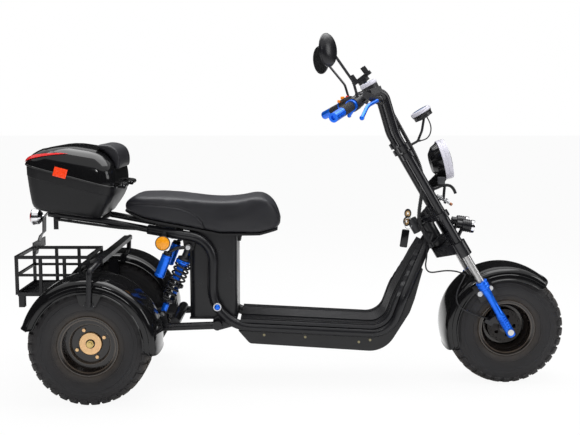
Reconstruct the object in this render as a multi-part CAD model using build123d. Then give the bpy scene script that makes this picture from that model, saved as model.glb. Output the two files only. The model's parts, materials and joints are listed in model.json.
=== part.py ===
from build123d import *
import os
from math import atan2, cos, degrees, hypot, pi, radians, sin, sqrt, tan

# An electric cargo tricycle with three fat knobby tyres: one steered wheel in front in a long raked
# fork, and two driven wheels on a swing arm behind. Millimetres, X forward, Y to the left, Z up.
# The pieces are laid out from the middle of the rear axle's shadow on the floor, and the last lines
# shift them so that the origin is on the floor below the middle of the whole machine.

os.makedirs("parts", exist_ok=True)

# ---- driving dimensions: stance -------------------------------------------------------------
WHEELBASE = 1606.0
TRACK = 570.0            # between the middles of the two rear tyres
TYRE_D = 457.0
TYRE_W = 216.0
TYRE_WALL = 9.0
BEAD_D = 203.0           # seat of the tyre's bead on the rim
BEAD_HALF = 84.0         # half the width between the beads
FLANGE_D = 228.0
AXLE_Z = TYRE_D / 2
RUN_GAP = 6.0            # air between a tyre and what does not turn with it

# ---- driving dimensions: frame --------------------------------------------------------------
TUBE_R = 19.0            # the two side tubes
FRAME_Y = 130.0          # side tube's middle from the centre plane
RAIL_Y = 104.0           # rack rail's middle from the centre plane
RAIL_R = 12.5
CROSS_R = 12.0
FLOOR_Z = 252.0          # side tube's middle at the rear of the footboard
FLOOR_DROP = 36.0        # how much lower it is at the front bend
POST_X = 435.0           # the upright stretch of the side tubes behind the pedestal
POST_TOP_Z = 590.0
BEND_X = 1137.0          # front bend of the footboard
PINCH = (1187.0, 356.0)  # where the two side tubes start to close on the head tube
TAIL = (188.0, 628.0)    # rear end of the side tubes, where the rack takes over

# ---- driving dimensions: steering -----------------------------------------------------------
RAKE = 30.6              # steering axis from upright, in degrees
FORK_OFFSET = 60.0       # fork legs ahead of the steering axis
HEAD_LOW = 416.0         # head tube's ends, along the axis from the level of the front axle
HEAD_HIGH = 520.0
HEAD_R = 27.0
BORE_R = 21.0
STEM_R = 15.0
BEARING_GAP = 0.3
RACE_T = 12.0
CLAMP_T = 60.0           # height of the lower clamp's leg eyes along the axis
BRIDGE_T = 42.0          # and of the bridge between them
YOKE_T = 22.0
CLAMP_GAP = 4.0          # clamp to head tube
FENDER_T = 2.5
SLIDER_R = 17.0
COLLAR_R = 22.0
STANCHION_R = 14.0
SLIDER_TOP = 231.0
RISER_R = 17.0
RISER_TOP = 852.0
BAR_R = 15.0

# ---- driving dimensions: pedestal, seat and top box ------------------------------------------
BOX_WALL = 3.5
PED_REAR = 347.0
PED_FRONT = 535.0
PED_LOW = 278.0
SEAT_GAP = 1.5           # pedestal rim to the seat's tray
SEAT_HALF = 150.0
PAN_T = 8.0
TRUNK_HALF = 200.0
TRUNK_WALL = 3.5
SEAM_TILT = 7.0

RACK_END = (-200.0, 690.0)
RACK_KINK = (18.0, 660.0)
TRUNK_X = -98.0          # middle of the top box on the rack

# ---- derived places ---------------------------------------------------------------------------
FENDER_HALF = TYRE_W / 2 + RUN_GAP + FENDER_T      # outer face of the front fender's skirts
FORK_Y = FENDER_HALF + 0.5 + COLLAR_R
STEER_X = WHEELBASE - FORK_OFFSET * cos(radians(RAKE))
STEER_Z = AXLE_Z - FORK_OFFSET * sin(radians(RAKE))
STEER = Plane(origin=(STEER_X, 0, STEER_Z), x_dir=(cos(radians(RAKE)), 0, sin(radians(RAKE))),
              z_dir=(-sin(radians(RAKE)), 0, cos(radians(RAKE))))
CLAMP_HIGH = HEAD_LOW - CLAMP_GAP
CLAMP_LOW = CLAMP_HIGH - CLAMP_T
YOKE_LOW = HEAD_HIGH + CLAMP_GAP
YOKE_HIGH = YOKE_LOW + YOKE_T
PED_HALF = FRAME_Y - TUBE_R - 0.5
WHEEL_Y = TRACK / 2
RACK_SLOPE = (RACK_END[1] - RACK_KINK[1]) / (RACK_END[0] - RACK_KINK[0])
TRUNK_TILT = degrees(atan2(-RACK_SLOPE, 1))


def rack_height(x):
    """Middle of the rack's rails under the top box."""
    return RACK_KINK[1] + RACK_SLOPE * (x - RACK_KINK[0])


# ---- small helpers -----------------------------------------------------------------------------
def both_sides(shape):
    """The shape and its mirror image across the centre plane."""
    return Compound([*shape.solids(), *mirror(shape, about=Plane.XZ).solids()])


def rod(start, end, radius):
    """A round bar between two points."""
    run = Vector(*end) - Vector(*start)
    plane = Plane(origin=start, z_dir=run)
    return extrude(plane * Circle(radius), amount=run.length)


def end_fitting(end, before, length, radius):
    """Round fitting that carries a cable on from its last point, in line with its last run."""
    run = (Vector(*end) - Vector(*before)).normalized()
    return rod(end, Vector(*end) + run * length, radius)


def bent_tube(points, radii, radius):
    """A round tube along straight runs joined by tangent arcs."""
    path = FilletPolyline(*points, radius=radii)
    return sweep(Plane(origin=path @ 0, z_dir=path % 0) * Circle(radius), path=path)


def beside(points, distance):
    """An open outline moved sideways by a distance, with its corners mitred."""
    moved = []
    for i, (x, z) in enumerate(points):
        turns = []
        for j in (i - 1, i):
            if 0 <= j < len(points) - 1:
                dx = points[j + 1][0] - points[j][0]
                dz = points[j + 1][1] - points[j][1]
                turns.append((-dz / hypot(dx, dz), dx / hypot(dx, dz)))
        nx = sum(n[0] for n in turns) / len(turns)
        nz = sum(n[1] for n in turns) / len(turns)
        scale = distance / (nx * nx + nz * nz)
        moved.append((x + nx * scale, z + nz * scale))
    return moved


def strip(points, near, far):
    """The flat band between two mitred side lines of an open outline."""
    return make_face(Polyline(*beside(points, near), *reversed(beside(points, far)), close=True))


def slab(sketch, half):
    """A side-view outline given thickness both ways from the centre plane."""
    return extrude(Plane.XZ * sketch, amount=half, both=True)


def side_plate(sketch, y_low, y_high):
    """A side-view outline as a plate between two distances to the left of the centre plane."""
    return extrude(Plane.XZ.offset(-y_low) * sketch, amount=y_low - y_high)


def wheel_form(profile, centre):
    """A section drawn as (radius, width), turned about a wheel's axis at a place."""
    return Pos(*centre) * revolve(profile, axis=Axis.Y)


def dome(radius, height):
    """Spherical cap that rises above the floor plane."""
    ball = (radius ** 2 + height ** 2) / (2 * height)
    return Pos(0, 0, height - ball) * Sphere(ball) & Pos(0, 0, height / 2) * Cylinder(radius, height)


def spun(points):
    """A closed section from (radius, width) points."""
    return make_face(Polyline(*points, close=True))


# ---- wheels --------------------------------------------------------------------------------------
def tyre(centre):
    """Low-pressure tyre: a nearly flat crown, round shoulders, full walls, open towards the rim."""
    def outline(shrink):
        top = TYRE_D / 2 - shrink
        half = TYRE_W / 2 - shrink
        bead = BEAD_D / 2
        foot = BEAD_HALF - shrink
        shoulder = half * 0.74
        walls = [(bead, foot - 1), (bead + 16, foot + 2), (bead + 62, half), (top - 24, half - 7),
                 (top - 5, shoulder)]
        left = Spline(*walls)
        right = Spline(*[(r, -w) for r, w in walls])
        crown = ThreePointArc((top - 5, shoulder), (top, 0), (top - 5, -shoulder))
        return make_face([left, crown, right, Line((bead, 1 - foot), (bead, foot - 1))])
    return wheel_form(outline(0) - outline(TYRE_WALL), centre)


def rim_barrel(wall=4.0):
    """Two flanges, the bead seats and the drop centre of a pressed steel rim."""
    seat = BEAD_D / 2
    lip = FLANGE_D / 2
    edge = BEAD_HALF + wall
    half = [(lip - 2, edge + 5), (lip, edge), (seat, BEAD_HALF), (seat - 2, 50), (seat - 16, 34)]
    outer = half + [(r, -w) for r, w in reversed(half)]
    inner = [(lip - 6, edge + 5), (lip - 5, edge), (seat - wall, BEAD_HALF + 1),
             (seat - wall - 2, 49), (seat - wall - 16, 32)]
    inner = inner + [(r, -w) for r, w in reversed(inner)]
    return spun(outer + list(reversed(inner)))


REAR_FACE = 40.0         # wheel disc's outer face from the middle of the tyre
DISC_T = 6.0
HUB_R = 34.0
STUB_R = 14.0
HOUSING_END = 186.0      # end of the axle housing, from the centre plane
HOUSING_R = 27.0
HUB_CAP_R = 44.0


def rear_rim(side):
    """Deep black rim: stepped disc near the outer side, hub and the stub that enters the housing."""
    seat = BEAD_D / 2
    barrel = wheel_form(rim_barrel(), (0, 0, 0))
    low = REAR_FACE - DISC_T
    disc = wheel_form(spun([(STUB_R, low), (72, low), (78, low + 14), (seat - 3, low + 14),
                            (seat - 3, low + 20), (76, low + 20), (70, low + DISC_T),
                            (STUB_R, low + DISC_T)]), (0, 0, 0))
    hub_end = HOUSING_END + 1.0 - WHEEL_Y
    hub = wheel_form(spun([(0, hub_end), (HUB_R, hub_end), (HUB_R, low), (0, low)]), (0, 0, 0))
    stub = wheel_form(spun([(0, hub_end - 40), (STUB_R, hub_end - 40), (STUB_R, hub_end + 1),
                            (0, hub_end + 1)]), (0, 0, 0))
    shape = barrel + disc + hub + stub
    if side < 0:
        shape = mirror(shape, about=Plane.XZ)
    return Pos(0, side * WHEEL_Y, AXLE_Z) * shape


def hub_cap(side):
    """Plated round cap with its centre nut, and four wheel bolts around it."""
    face = REAR_FACE
    cap = wheel_form(spun([(0, face), (HUB_CAP_R, face), (HUB_CAP_R, face + 5),
                           (HUB_CAP_R - 3, face + 8), (0, face + 8)]), (0, 0, 0))
    nut = extrude(Plane.XZ.offset(-(face + 8)) * RegularPolygon(14, 6), amount=-9)
    tip = extrude(Plane.XZ.offset(-(face + 17)) * Circle(8), amount=-5)
    shape = cap + nut + tip
    for angle in range(25, 385, 90):
        place = Pos(56 * cos(radians(angle)), 0, 56 * sin(radians(angle)))
        shape += place * extrude(Plane.XZ.offset(-face) * RegularPolygon(7, 6), amount=-6)
    if side < 0:
        shape = mirror(shape, about=Plane.XZ)
    return Pos(0, side * WHEEL_Y, AXLE_Z) * shape


ROTOR_Y = 50.0           # inner face of the brake disc, on the right
ROTOR_T = 3.0
ROTOR_R = 68.0
ROTOR_BORE = 24.0
AXLE_R = 7.0
HUB_END = 64.0


def front_rim():
    """Front rim: dished disc, a turned hub on bearings around the axle."""
    seat = BEAD_D / 2
    barrel = wheel_form(rim_barrel(), (0, 0, 0))
    disc = wheel_form(spun([(30, 3), (64, 3), (74, -12), (seat - 18, -12), (seat - 18, -18),
                            (70, -18), (61, -3), (30, -3)]), (0, 0, 0))
    bore = AXLE_R + BEARING_GAP
    hub = wheel_form(spun([(bore, -HUB_END), (ROTOR_BORE, -HUB_END), (ROTOR_BORE, -ROTOR_Y),
                           (32, -ROTOR_Y), (32, -38), (50, -34), (50, 34), (26, 40), (24, HUB_END),
                           (bore, HUB_END)]), (0, 0, 0))
    return Pos(WHEELBASE, 0, AXLE_Z) * (barrel + disc + hub)


def front_rotor():
    """Brake disc on the right end of the hub, with two rings of vents in its band."""
    ring = Circle(ROTOR_R) - Circle(ROTOR_BORE)
    for radius in (ROTOR_R - 5, ROTOR_R - 11):
        ring -= PolarLocations(radius, 20, start_angle=radius) * Circle(2)
    ring -= PolarLocations(ROTOR_BORE + 15, 5) * Circle(8)
    disc = extrude(Plane.XZ.offset(ROTOR_Y) * ring, amount=ROTOR_T)
    return Pos(WHEELBASE, 0, AXLE_Z) * disc


# ---- frame ---------------------------------------------------------------------------------------
def steer_point(forward, left, up):
    """A place given in the steering's own leaning frame."""
    return STEER.from_local_coords(Vector(forward, left, up))


HEAD_MID = steer_point(-10, 0, (HEAD_LOW + HEAD_HIGH) / 2)
FRONT_Z = FLOOR_Z - FLOOR_DROP
FRAME_LINE = [(POST_X, FLOOR_Z), (BEND_X, FRONT_Z), PINCH, (HEAD_MID.X, HEAD_MID.Z)]
SIDE_PATH = [(TAIL[0], RAIL_Y, TAIL[1]), (300, FRAME_Y, TAIL[1] - 16), (POST_X + 8, FRAME_Y, POST_TOP_Z),
             (POST_X, FRAME_Y, FLOOR_Z), (BEND_X, FRAME_Y, FRONT_Z), (PINCH[0], FRAME_Y, PINCH[1]),
             (HEAD_MID.X, 18, HEAD_MID.Z)]
SIDE_BENDS = [120, 100, 155, 110, 150]
FLOOR_BENDS = [110, 260]
PIVOT = (459.0, 255.0)   # swing arm pivot
ARM_Y = 150.0
ARM_R = 15.0
PIVOT_R = 8.0
DAMPER_Y = 146.0
EYE_HALF = 10.8          # half the length of a damper's eye
DAMPER_LOW = (245.0, 302.0)
DAMPER_HIGH = (348.0, 563.0)


def floor_height(x):
    """Middle of the side tubes along the footboard."""
    return FLOOR_Z - FLOOR_DROP * (x - POST_X) / (BEND_X - POST_X)


def slope_half(z, margin):
    """Half width between the side tubes' middles at a height on the front slope, plus a margin."""
    share = max(0.0, (z - PINCH[1]) / (HEAD_MID.Z - PINCH[1]))
    return FRAME_Y + (18 - FRAME_Y) * share + margin


def front_taper(margin, high):
    """Front-view outline that narrows with the side tubes, long enough to cut any footboard piece."""
    points = [(-slope_half(0, margin), 0), (-slope_half(PINCH[1], margin), PINCH[1]),
              (-slope_half(high, margin), high)]
    sketch = make_face(Polyline(*points, *[(-y, z) for y, z in reversed(points)], close=True))
    return extrude(Plane.YZ * sketch, amount=2000)


def main_frame():
    """Two bent side tubes, their cross tubes, the battery tray and the swing arm's pivot plates."""
    side = bent_tube(SIDE_PATH, SIDE_BENDS, TUBE_R)
    frame = side + mirror(side, about=Plane.XZ)
    for x in (640, 820, 1000):
        frame += rod((x, -FRAME_Y, floor_height(x)), (x, FRAME_Y, floor_height(x)), CROSS_R)
    slope_x = PINCH[0] - 10
    frame += rod((slope_x, -FRAME_Y, PINCH[1] - 30), (slope_x, FRAME_Y, PINCH[1] - 30), CROSS_R)
    frame += rod((300, -FRAME_Y, TAIL[1] - 16), (300, FRAME_Y, TAIL[1] - 16), CROSS_R)
    tray = Pos((PED_REAR + PED_FRONT) / 2, 0, PED_LOW - 3)
    frame += tray * Box(PED_FRONT - PED_REAR, 2 * (FRAME_Y - TUBE_R + 6), 6)
    outline = make_face(Polyline((PIVOT[0] - 22, PIVOT[1] - 10), (PIVOT[0] + 8, PIVOT[1] - 24),
                                 (PIVOT[0] + 80, PIVOT[1] - 4), (PIVOT[0] + 70, PIVOT[1] + 30),
                                 (PIVOT[0] + 8, PIVOT[1] + 40), (PIVOT[0] - 18, PIVOT[1] + 20),
                                 close=True))
    plate = side_plate(outline - Pos(*PIVOT) * Circle(PIVOT_R + BEARING_GAP), FRAME_Y - 6, FRAME_Y)
    ear = make_face(Polyline((DAMPER_HIGH[0] - 16, DAMPER_HIGH[1] - 14),
                             (DAMPER_HIGH[0] + 18, DAMPER_HIGH[1] - 14),
                             (DAMPER_HIGH[0] + 30, TAIL[1] - 26), (DAMPER_HIGH[0] - 24, TAIL[1] - 26),
                             close=True))
    ear = side_plate(ear, DAMPER_Y - EYE_HALF - 6.2, DAMPER_Y - EYE_HALF - 0.2)
    frame += plate + mirror(plate, about=Plane.XZ) + ear + mirror(ear, about=Plane.XZ)
    head = STEER * Pos(0, 0, (HEAD_LOW + HEAD_HIGH) / 2) * Cylinder(HEAD_R, HEAD_HIGH - HEAD_LOW + 80)
    return frame - head


GLAND = (-34.0, -72.0)   # where the wiring enters the frame, in the steering's leaning frame
GLAND_LOW = 432.0
GLAND_HIGH = 450.0


def steering_neck():
    """Head tube with swollen ends, its bore, and the gusset that boxes it to the side tubes."""
    length = HEAD_HIGH - HEAD_LOW
    mid = (HEAD_LOW + HEAD_HIGH) / 2
    tube = Pos(0, 0, mid) * Cylinder(HEAD_R, length)
    for end in (HEAD_LOW + 9, HEAD_HIGH - 9):
        tube += Pos(0, 0, end) * Cylinder(HEAD_R + 4, 18)
    tube = STEER * tube
    gusset = make_face(Polyline((-20, HEAD_LOW + 8), (-20, HEAD_HIGH - 40), (-44, HEAD_HIGH - 57),
                                (-76, HEAD_HIGH - 78), (-62, HEAD_LOW + 14), close=True))
    web = STEER * extrude(Plane.XZ * gusset, amount=16, both=True)
    gland = Pos(GLAND[0], GLAND[1], GLAND_LOW) * extrude(Circle(13), amount=GLAND_HIGH - GLAND_LOW)
    arm = extrude(Plane.XY.offset(GLAND_LOW + 3) * make_face(Polyline(
        (-12, -24), (12, -24), (GLAND[0] + 10, GLAND[1]), (GLAND[0] - 26, GLAND[1] + 8), close=True)),
        amount=GLAND_HIGH - GLAND_LOW - 6)
    neck = tube + web + STEER * (gland + arm)
    neck += end_fitting(HOSE[0], HOSE[1], 16, 6)
    bore = STEER * Pos(0, 0, mid) * Cylinder(BORE_R, length + 200)
    side = bent_tube(SIDE_PATH, SIDE_BENDS, TUBE_R)
    return neck - bore - side - mirror(side, about=Plane.XZ)


MAT_HALF_MARGIN = 14.0
MAT_T = 11.0


def footboard_band(near, far):
    """Side-view band that follows the side tubes from the pedestal to the head tube."""
    rear = (PED_FRONT + 12, floor_height(PED_FRONT + 12))
    top_share = 0.86
    top = (PINCH[0] + (HEAD_MID.X - PINCH[0]) * top_share, PINCH[1] + (HEAD_MID.Z - PINCH[1]) * top_share)
    line = [rear, (BEND_X, FRONT_Z), PINCH, top]
    upper = FilletPolyline(*beside(line, far), radius=[FLOOR_BENDS[0] - far, FLOOR_BENDS[1] - far])
    lower = FilletPolyline(*beside(line, near), radius=[FLOOR_BENDS[0] - near, FLOOR_BENDS[1] - near])
    return make_face([upper, lower, Line(upper @ 0, lower @ 0), Line(upper @ 1, lower @ 1)])


def floor_mat():
    """Rubber mat: a base with raised side ribs and a raised centre panel, over floor and slope."""
    base = TUBE_R + 0.2
    mat = slab(footboard_band(base, base + MAT_T), FRAME_Y + MAT_HALF_MARGIN)
    panel = slab(footboard_band(base + 1, base + MAT_T + 6), 66)
    mat += panel
    ribs = footboard_band(base + 1, base + MAT_T + 3.5)
    for y in (80, 92, 104, 116, 128):
        rib = side_plate(ribs, y - 2.2, y + 2.2)
        mat += rib + mirror(rib, about=Plane.XZ)
    side = bent_tube(SIDE_PATH, SIDE_BENDS, TUBE_R)
    return (mat & front_taper(MAT_HALF_MARGIN, HEAD_MID.Z + 40)) - side - mirror(side, about=Plane.XZ)


def belly_pan():
    """Closed tray under the footboard that turns up the front of the slope."""
    top_share = 0.5
    top = (PINCH[0] + (HEAD_MID.X - PINCH[0]) * top_share, PINCH[1] + (HEAD_MID.Z - PINCH[1]) * top_share)
    line = [(PED_FRONT + 6, floor_height(PED_FRONT + 6)), (BEND_X, FRONT_Z), PINCH, top]
    gap = TUBE_R + 0.2
    upper = FilletPolyline(*beside(line, -gap), radius=[FLOOR_BENDS[0] + gap, FLOOR_BENDS[1]])
    start, end = upper @ 0, upper @ 1
    blunt = beside(line, -gap - 7)[-1]
    floor = [(start.X, start.Y), (start.X + 44, 176), (BEND_X - 20, 142), (1214, 300), blunt]
    lower = FilletPolyline(*floor, radius=[24, 110, 60])
    pan = slab(make_face([upper, lower, Line(blunt, end)]), FRAME_Y - 2)
    pan = pan & front_taper(-2, HEAD_MID.Z + 40)
    side = bent_tube(SIDE_PATH, SIDE_BENDS, TUBE_R + 0.1)
    return pan - side - mirror(side, about=Plane.XZ)


SEAT_UNDER = [(94.0, 697.0), (180.0, 667.0), (470.0, 606.0), (625.0, 606.0), (694.0, 622.0)]
SEAT_HINGE = (PED_FRONT + 11.0, 596.0)


def battery_box():
    """Pedestal under the seat: open-topped box with round upright corners and the hinge's knuckles."""
    length = PED_FRONT - PED_REAR
    outer = RectangleRounded(length, 2 * PED_HALF, 26)
    inner = RectangleRounded(length - 2 * BOX_WALL, 2 * (PED_HALF - BOX_WALL), 26 - BOX_WALL)
    height = SEAT_UNDER[0][1] - PED_LOW
    box = extrude(outer, amount=height) - Pos(0, 0, BOX_WALL) * extrude(inner, amount=height)
    box = Pos((PED_FRONT + PED_REAR) / 2, 0, PED_LOW) * box
    box -= slab(strip(SEAT_UNDER, -SEAT_GAP, 200), 200)
    x, z = SEAT_HINGE
    pin = Pos(x, 0, z) * Rot(90, 0, 0) * Cylinder(4, 124)
    fixed = Pos(x, 0, z) * Rot(90, 0, 0) * Cylinder(6.5, 78)
    plate = Pos((PED_FRONT - 1 + x) / 2, 0, z - 12) * Box(x - PED_FRONT + 1, 70, 24)
    return box + pin + fixed + plate


BATTERY_H = 200.0


def battery():
    """The battery pack as one plain block on the floor of the pedestal."""
    length = PED_FRONT - PED_REAR - 2 * BOX_WALL - 12
    block = Box(length, 2 * (PED_HALF - BOX_WALL) - 12, BATTERY_H)
    block = fillet(block.edges().filter_by(Axis.Z), 22)
    return Pos((PED_FRONT + PED_REAR) / 2, 0, PED_LOW + BOX_WALL + BATTERY_H / 2) * block




def rear_rack():
    """Two rails from the frame to the tail with cross bars and the flat carrier under the box."""
    path = [(TAIL[0] - 1, RAIL_Y, TAIL[1]), (RACK_KINK[0], RAIL_Y, RACK_KINK[1]),
            (RACK_END[0], RAIL_Y, RACK_END[1])]
    rail = bent_tube(path, [200], RAIL_R)
    rack = rail + mirror(rail, about=Plane.XZ)
    for x in (RACK_END[0] + 10, -90, 0):
        rack += rod((x, -RAIL_Y, rack_height(x)), (x, RAIL_Y, rack_height(x)), 9)
    for side in (-1, 1):
        rack += Pos(-170, side * (RAIL_Y + RAIL_R - 2), 660) * Box(18, 4, 62)
    for near, far in ((SLEEVE[0], SLEEVE[1]), (SLEEVE[-1], SLEEVE[-2])):
        rack += end_fitting(near, far, 12, SLEEVE_R + 2.5)
    side = bent_tube(SIDE_PATH, SIDE_BENDS, TUBE_R)
    return rack - side - mirror(side, about=Plane.XZ)


# ---- swing arm, axle and dampers ---------------------------------------------------------------
def swing_arm():
    """Two side tubes, two cross tubes, the pivot spindle, damper lugs and the axle plates."""
    arm = rod((PIVOT[0], ARM_Y, PIVOT[1]), (62, ARM_Y, AXLE_Z + 12), ARM_R)
    arm += rod((PIVOT[0], FRAME_Y + 1, PIVOT[1]), (PIVOT[0], ARM_Y + ARM_R, PIVOT[1]), 18)
    hole = Pos(0, AXLE_Z) * Circle(HOUSING_R + 0.2)
    plate = make_face(Polyline((110, AXLE_Z - 2), (110, AXLE_Z + 30), (20, AXLE_Z + 46),
                               (-30, AXLE_Z + 44), (-44, AXLE_Z), (-30, AXLE_Z - 40),
                               (20, AXLE_Z - 42), close=True)) - hole
    arm += side_plate(plate, ARM_Y - 5, ARM_Y + 5)
    lug = make_face(Polyline((DAMPER_LOW[0] - 26, PIVOT[1] - 4), (DAMPER_LOW[0] + 26, PIVOT[1] - 4),
                             (DAMPER_LOW[0] + 13, DAMPER_LOW[1] + 12),
                             (DAMPER_LOW[0] - 13, DAMPER_LOW[1] + 12), close=True))
    for y in (DAMPER_Y - EYE_HALF - 8, DAMPER_Y + EYE_HALF + 0.2):
        arm += side_plate(lug, y, y + 7.8)
    arm += Pos(DAMPER_LOW[0], ARM_Y - 12, PIVOT[1] + 1) * Box(52, 22, 10)
    inner_skirt = WHEEL_Y - TYRE_W / 2 - RUN_GAP - FENDER_T
    stay = make_face(Polyline((-30, AXLE_Z + 30), (20, AXLE_Z + 30), (16, AXLE_Z + REAR_FENDER_R - 26),
                              (-26, AXLE_Z + REAR_FENDER_R - 26), close=True))
    arm += side_plate(stay, inner_skirt - 5, inner_skirt)
    arm += Pos(-5, (ARM_Y + inner_skirt) / 2, AXLE_Z + 36) * Box(40, inner_skirt - ARM_Y, 12)
    both = arm + mirror(arm, about=Plane.XZ)
    for x, z, radius in ((292, 264, 20), (140, 246, 14)):
        both += rod((x, -ARM_Y, z), (x, ARM_Y, z), radius)
    both += rod((PIVOT[0], -ARM_Y, PIVOT[1]), (PIVOT[0], ARM_Y, PIVOT[1]), PIVOT_R)
    return both


def rear_axle():
    """Axle housing with the motor drum and the differential's bulge, bored for the two stubs."""
    housing = rod((0, -HOUSING_END, AXLE_Z), (0, HOUSING_END, AXLE_Z), HOUSING_R)
    drum = wheel_form(spun([(0, -78), (60, -78), (82, -66), (82, 30), (66, 44), (40, 60), (0, 60)]),
                      (0, 0, AXLE_Z))
    for i in range(7):
        y = -58 + 12 * i
        drum += rod((0, y, AXLE_Z), (0, y + 5, AXLE_Z), 87)
    axle = housing + drum
    for side in (-1, 1):
        axle += rod((0, side * (HOUSING_END - 10), AXLE_Z), (0, side * HOUSING_END, AXLE_Z), HUB_R + 4)
        axle -= rod((0, side * (HOUSING_END - 60), AXLE_Z), (0, side * (HOUSING_END + 5), AXLE_Z),
                    STUB_R + BEARING_GAP)
    return axle


DAMPER_RUN = Vector(DAMPER_HIGH[0] - DAMPER_LOW[0], 0, DAMPER_HIGH[1] - DAMPER_LOW[1])
DAMPER_L = DAMPER_RUN.length
DAMPER = Plane(origin=(DAMPER_LOW[0], DAMPER_Y, DAMPER_LOW[1]), x_dir=(0, 1, 0), z_dir=DAMPER_RUN)
RESERVOIR_R = 20.0       # gas bottle beside the damper
SPRING_R = 23.0
WIRE_R = 4.2
SPRING_LOW = 66.0
SPRING_HIGH = 226.0
COILS = 8


def dampers():
    """Rod, threaded body and eyes of each damper, with its gas bottle on an arm from the top eye."""
    eye = Rot(0, 90, 0) * Cylinder(14, 2 * EYE_HALF)
    shape = eye + Pos(0, 0, DAMPER_L) * eye
    shape += Pos(0, 0, 34) * Cylinder(9, 44)
    shape += Pos(0, 0, (52 + SPRING_LOW) / 2) * Cylinder(SPRING_R + 4, SPRING_LOW - 52.2)
    shape += Pos(0, 0, 108) * Cylinder(6, 100)
    shape += Pos(0, 0, 190) * Cylinder(15, 100)
    top = SPRING_HIGH + 0.2
    shape += Pos(0, 0, top + 6) * Cylinder(SPRING_R + 4, 12)
    shape += Pos(0, 0, (top + 12 + DAMPER_L - 12) / 2) * Cylinder(11, DAMPER_L - top - 24)
    low = Vector(232, DAMPER_Y, 446)
    high = Vector(266, DAMPER_Y, 533)
    run = (high - low).normalized()
    shape = DAMPER * shape
    shape += rod(low, high, RESERVOIR_R) + rod(high, high + run * 12, RESERVOIR_R - 3)
    shape += rod(high + run * 6, (DAMPER_HIGH[0], DAMPER_Y, DAMPER_HIGH[1]), 7)
    return both_sides(shape)


def damper_springs():
    """Open coil spring of each damper."""
    turns = (SPRING_HIGH - SPRING_LOW - 2 * WIRE_R) / COILS
    path = Helix(pitch=turns, height=turns * COILS, radius=SPRING_R)
    coil = sweep(Plane(origin=path @ 0, z_dir=path % 0) * Circle(WIRE_R), path=path, is_frenet=True)
    return both_sides(DAMPER * Pos(0, 0, SPRING_LOW + WIRE_R) * coil)


# ---- rear fenders, hoop, basket and tail ----------------------------------------------------------
REAR_FENDER_R = 259.0
REAR_SKIRT_R = 206.0


def fender_section(crown, inner_half, outer_half, skirt_in, skirt_out, thick):
    """Half-round section of a fender as (radius, width), from its inner to its outer skirt."""
    line = [(skirt_in, inner_half), (crown - 22, inner_half), (crown - 6, inner_half * 0.72),
            (crown, (inner_half + outer_half) / 2), (crown - 6, outer_half * 0.72),
            (crown - 22, outer_half), (skirt_out, outer_half)]
    return strip(line, -thick, 0)


def rear_fenders():
    """Wide arched fenders over the rear tyres, with a deep outer skirt and a bolted tab."""
    half = TYRE_W / 2 + RUN_GAP
    section = fender_section(REAR_FENDER_R, -half, half, REAR_FENDER_R - 34, REAR_SKIRT_R, FENDER_T)
    ring = revolve(Rot(0, 7, 0) * section, axis=Axis.Y, revolution_arc=-171)
    tab = make_face(Polyline((-34, REAR_SKIRT_R + 4), (-20, 160), (34, 152), (66, REAR_SKIRT_R + 2),
                             close=True))
    tab = side_plate(tab, half, half + FENDER_T)
    fender = Pos(0, WHEEL_Y, AXLE_Z) * (ring + tab)
    return both_sides(fender)


HOOP_R = 10.0
HOOP_TOP = 532.0         # middle of the hoop's level stretch


def fender_hoop():
    """Arch of tube over both rear fenders, its feet bolted to the tabs of their skirts."""
    y = WHEEL_Y + TYRE_W / 2 + RUN_GAP + FENDER_T + HOOP_R + 0.2
    path = [(14, y, 386), (20, y, 516), (34, y - 52, HOOP_TOP), (34, 52 - y, HOOP_TOP), (20, -y, 516),
            (14, -y, 386)]
    tube = bent_tube(path, [16, 30, 30, 16], HOOP_R)
    bar = Pos(34, 0, HOOP_TOP + 4) * Box(34, 2 * y - 190, 16)
    foot = Pos(14, y - HOOP_R + 2, 386) * Box(34, 4, 26)
    return tube + bar + foot + mirror(foot, about=Plane.XZ)


BASKET = (-333.0, -40.0, 372.0, 526.0)   # rear, front, floor, rim
BASKET_HALF = 132.0
WIRE = 12.0


def basket_arms():
    """Two bent flat arms from the axle plates under the basket floor, tied by a rear foot."""
    rear, front, floor, rim = BASKET
    line = [(-46, AXLE_Z + 20), (-60, floor - 40), (-86, floor - 2.9), (rear + 14, floor - 2.9)]
    arm = side_plate(strip(line, -3, 3), ARM_Y - 40, ARM_Y - 20)
    toe = Pos(-42, ARM_Y - 16, AXLE_Z + 22) * Box(22, 21.6, 30)
    tie = Pos(rear + 22, 0, floor - 2.9) * Box(28, 2 * (ARM_Y - 20), 6)
    foot = Pos(rear + 22, ARM_Y - 33, floor - 28) * Box(22, 26, 44)
    return arm + toe + tie + foot + mirror(arm + toe + foot, about=Plane.XZ)


def basket():
    """Welded open basket on its two arms: three hoops, upright bars and a slatted floor."""
    rear, front, floor, rim = BASKET
    length = front - rear
    middle = (front + rear) / 2
    hoop = Rectangle(length, 2 * BASKET_HALF) - Rectangle(length - 2 * WIRE, 2 * BASKET_HALF - 2 * WIRE)
    shape = basket_arms()
    for low, tall in ((floor, 9), ((floor + rim) / 2 - 4, 9), (rim - WIRE, WIRE)):
        shape += Pos(middle, 0, low) * extrude(hoop, amount=tall)
    for i in range(4):
        x = rear + WIRE / 2 + i * (length - WIRE) / 3
        for side in (-1, 1):
            shape += Pos(x, side * (BASKET_HALF - WIRE / 2), (floor + rim) / 2) * Box(
                WIRE, WIRE - 1, rim - floor)
    for i in range(1, 9):
        y = -BASKET_HALF + i * 2 * BASKET_HALF / 9
        shape += Pos(middle, y, floor + 2.5) * Box(length, 8, 5)
    return shape


TAIL_LAMP = (-294.0, 664.0)


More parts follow.
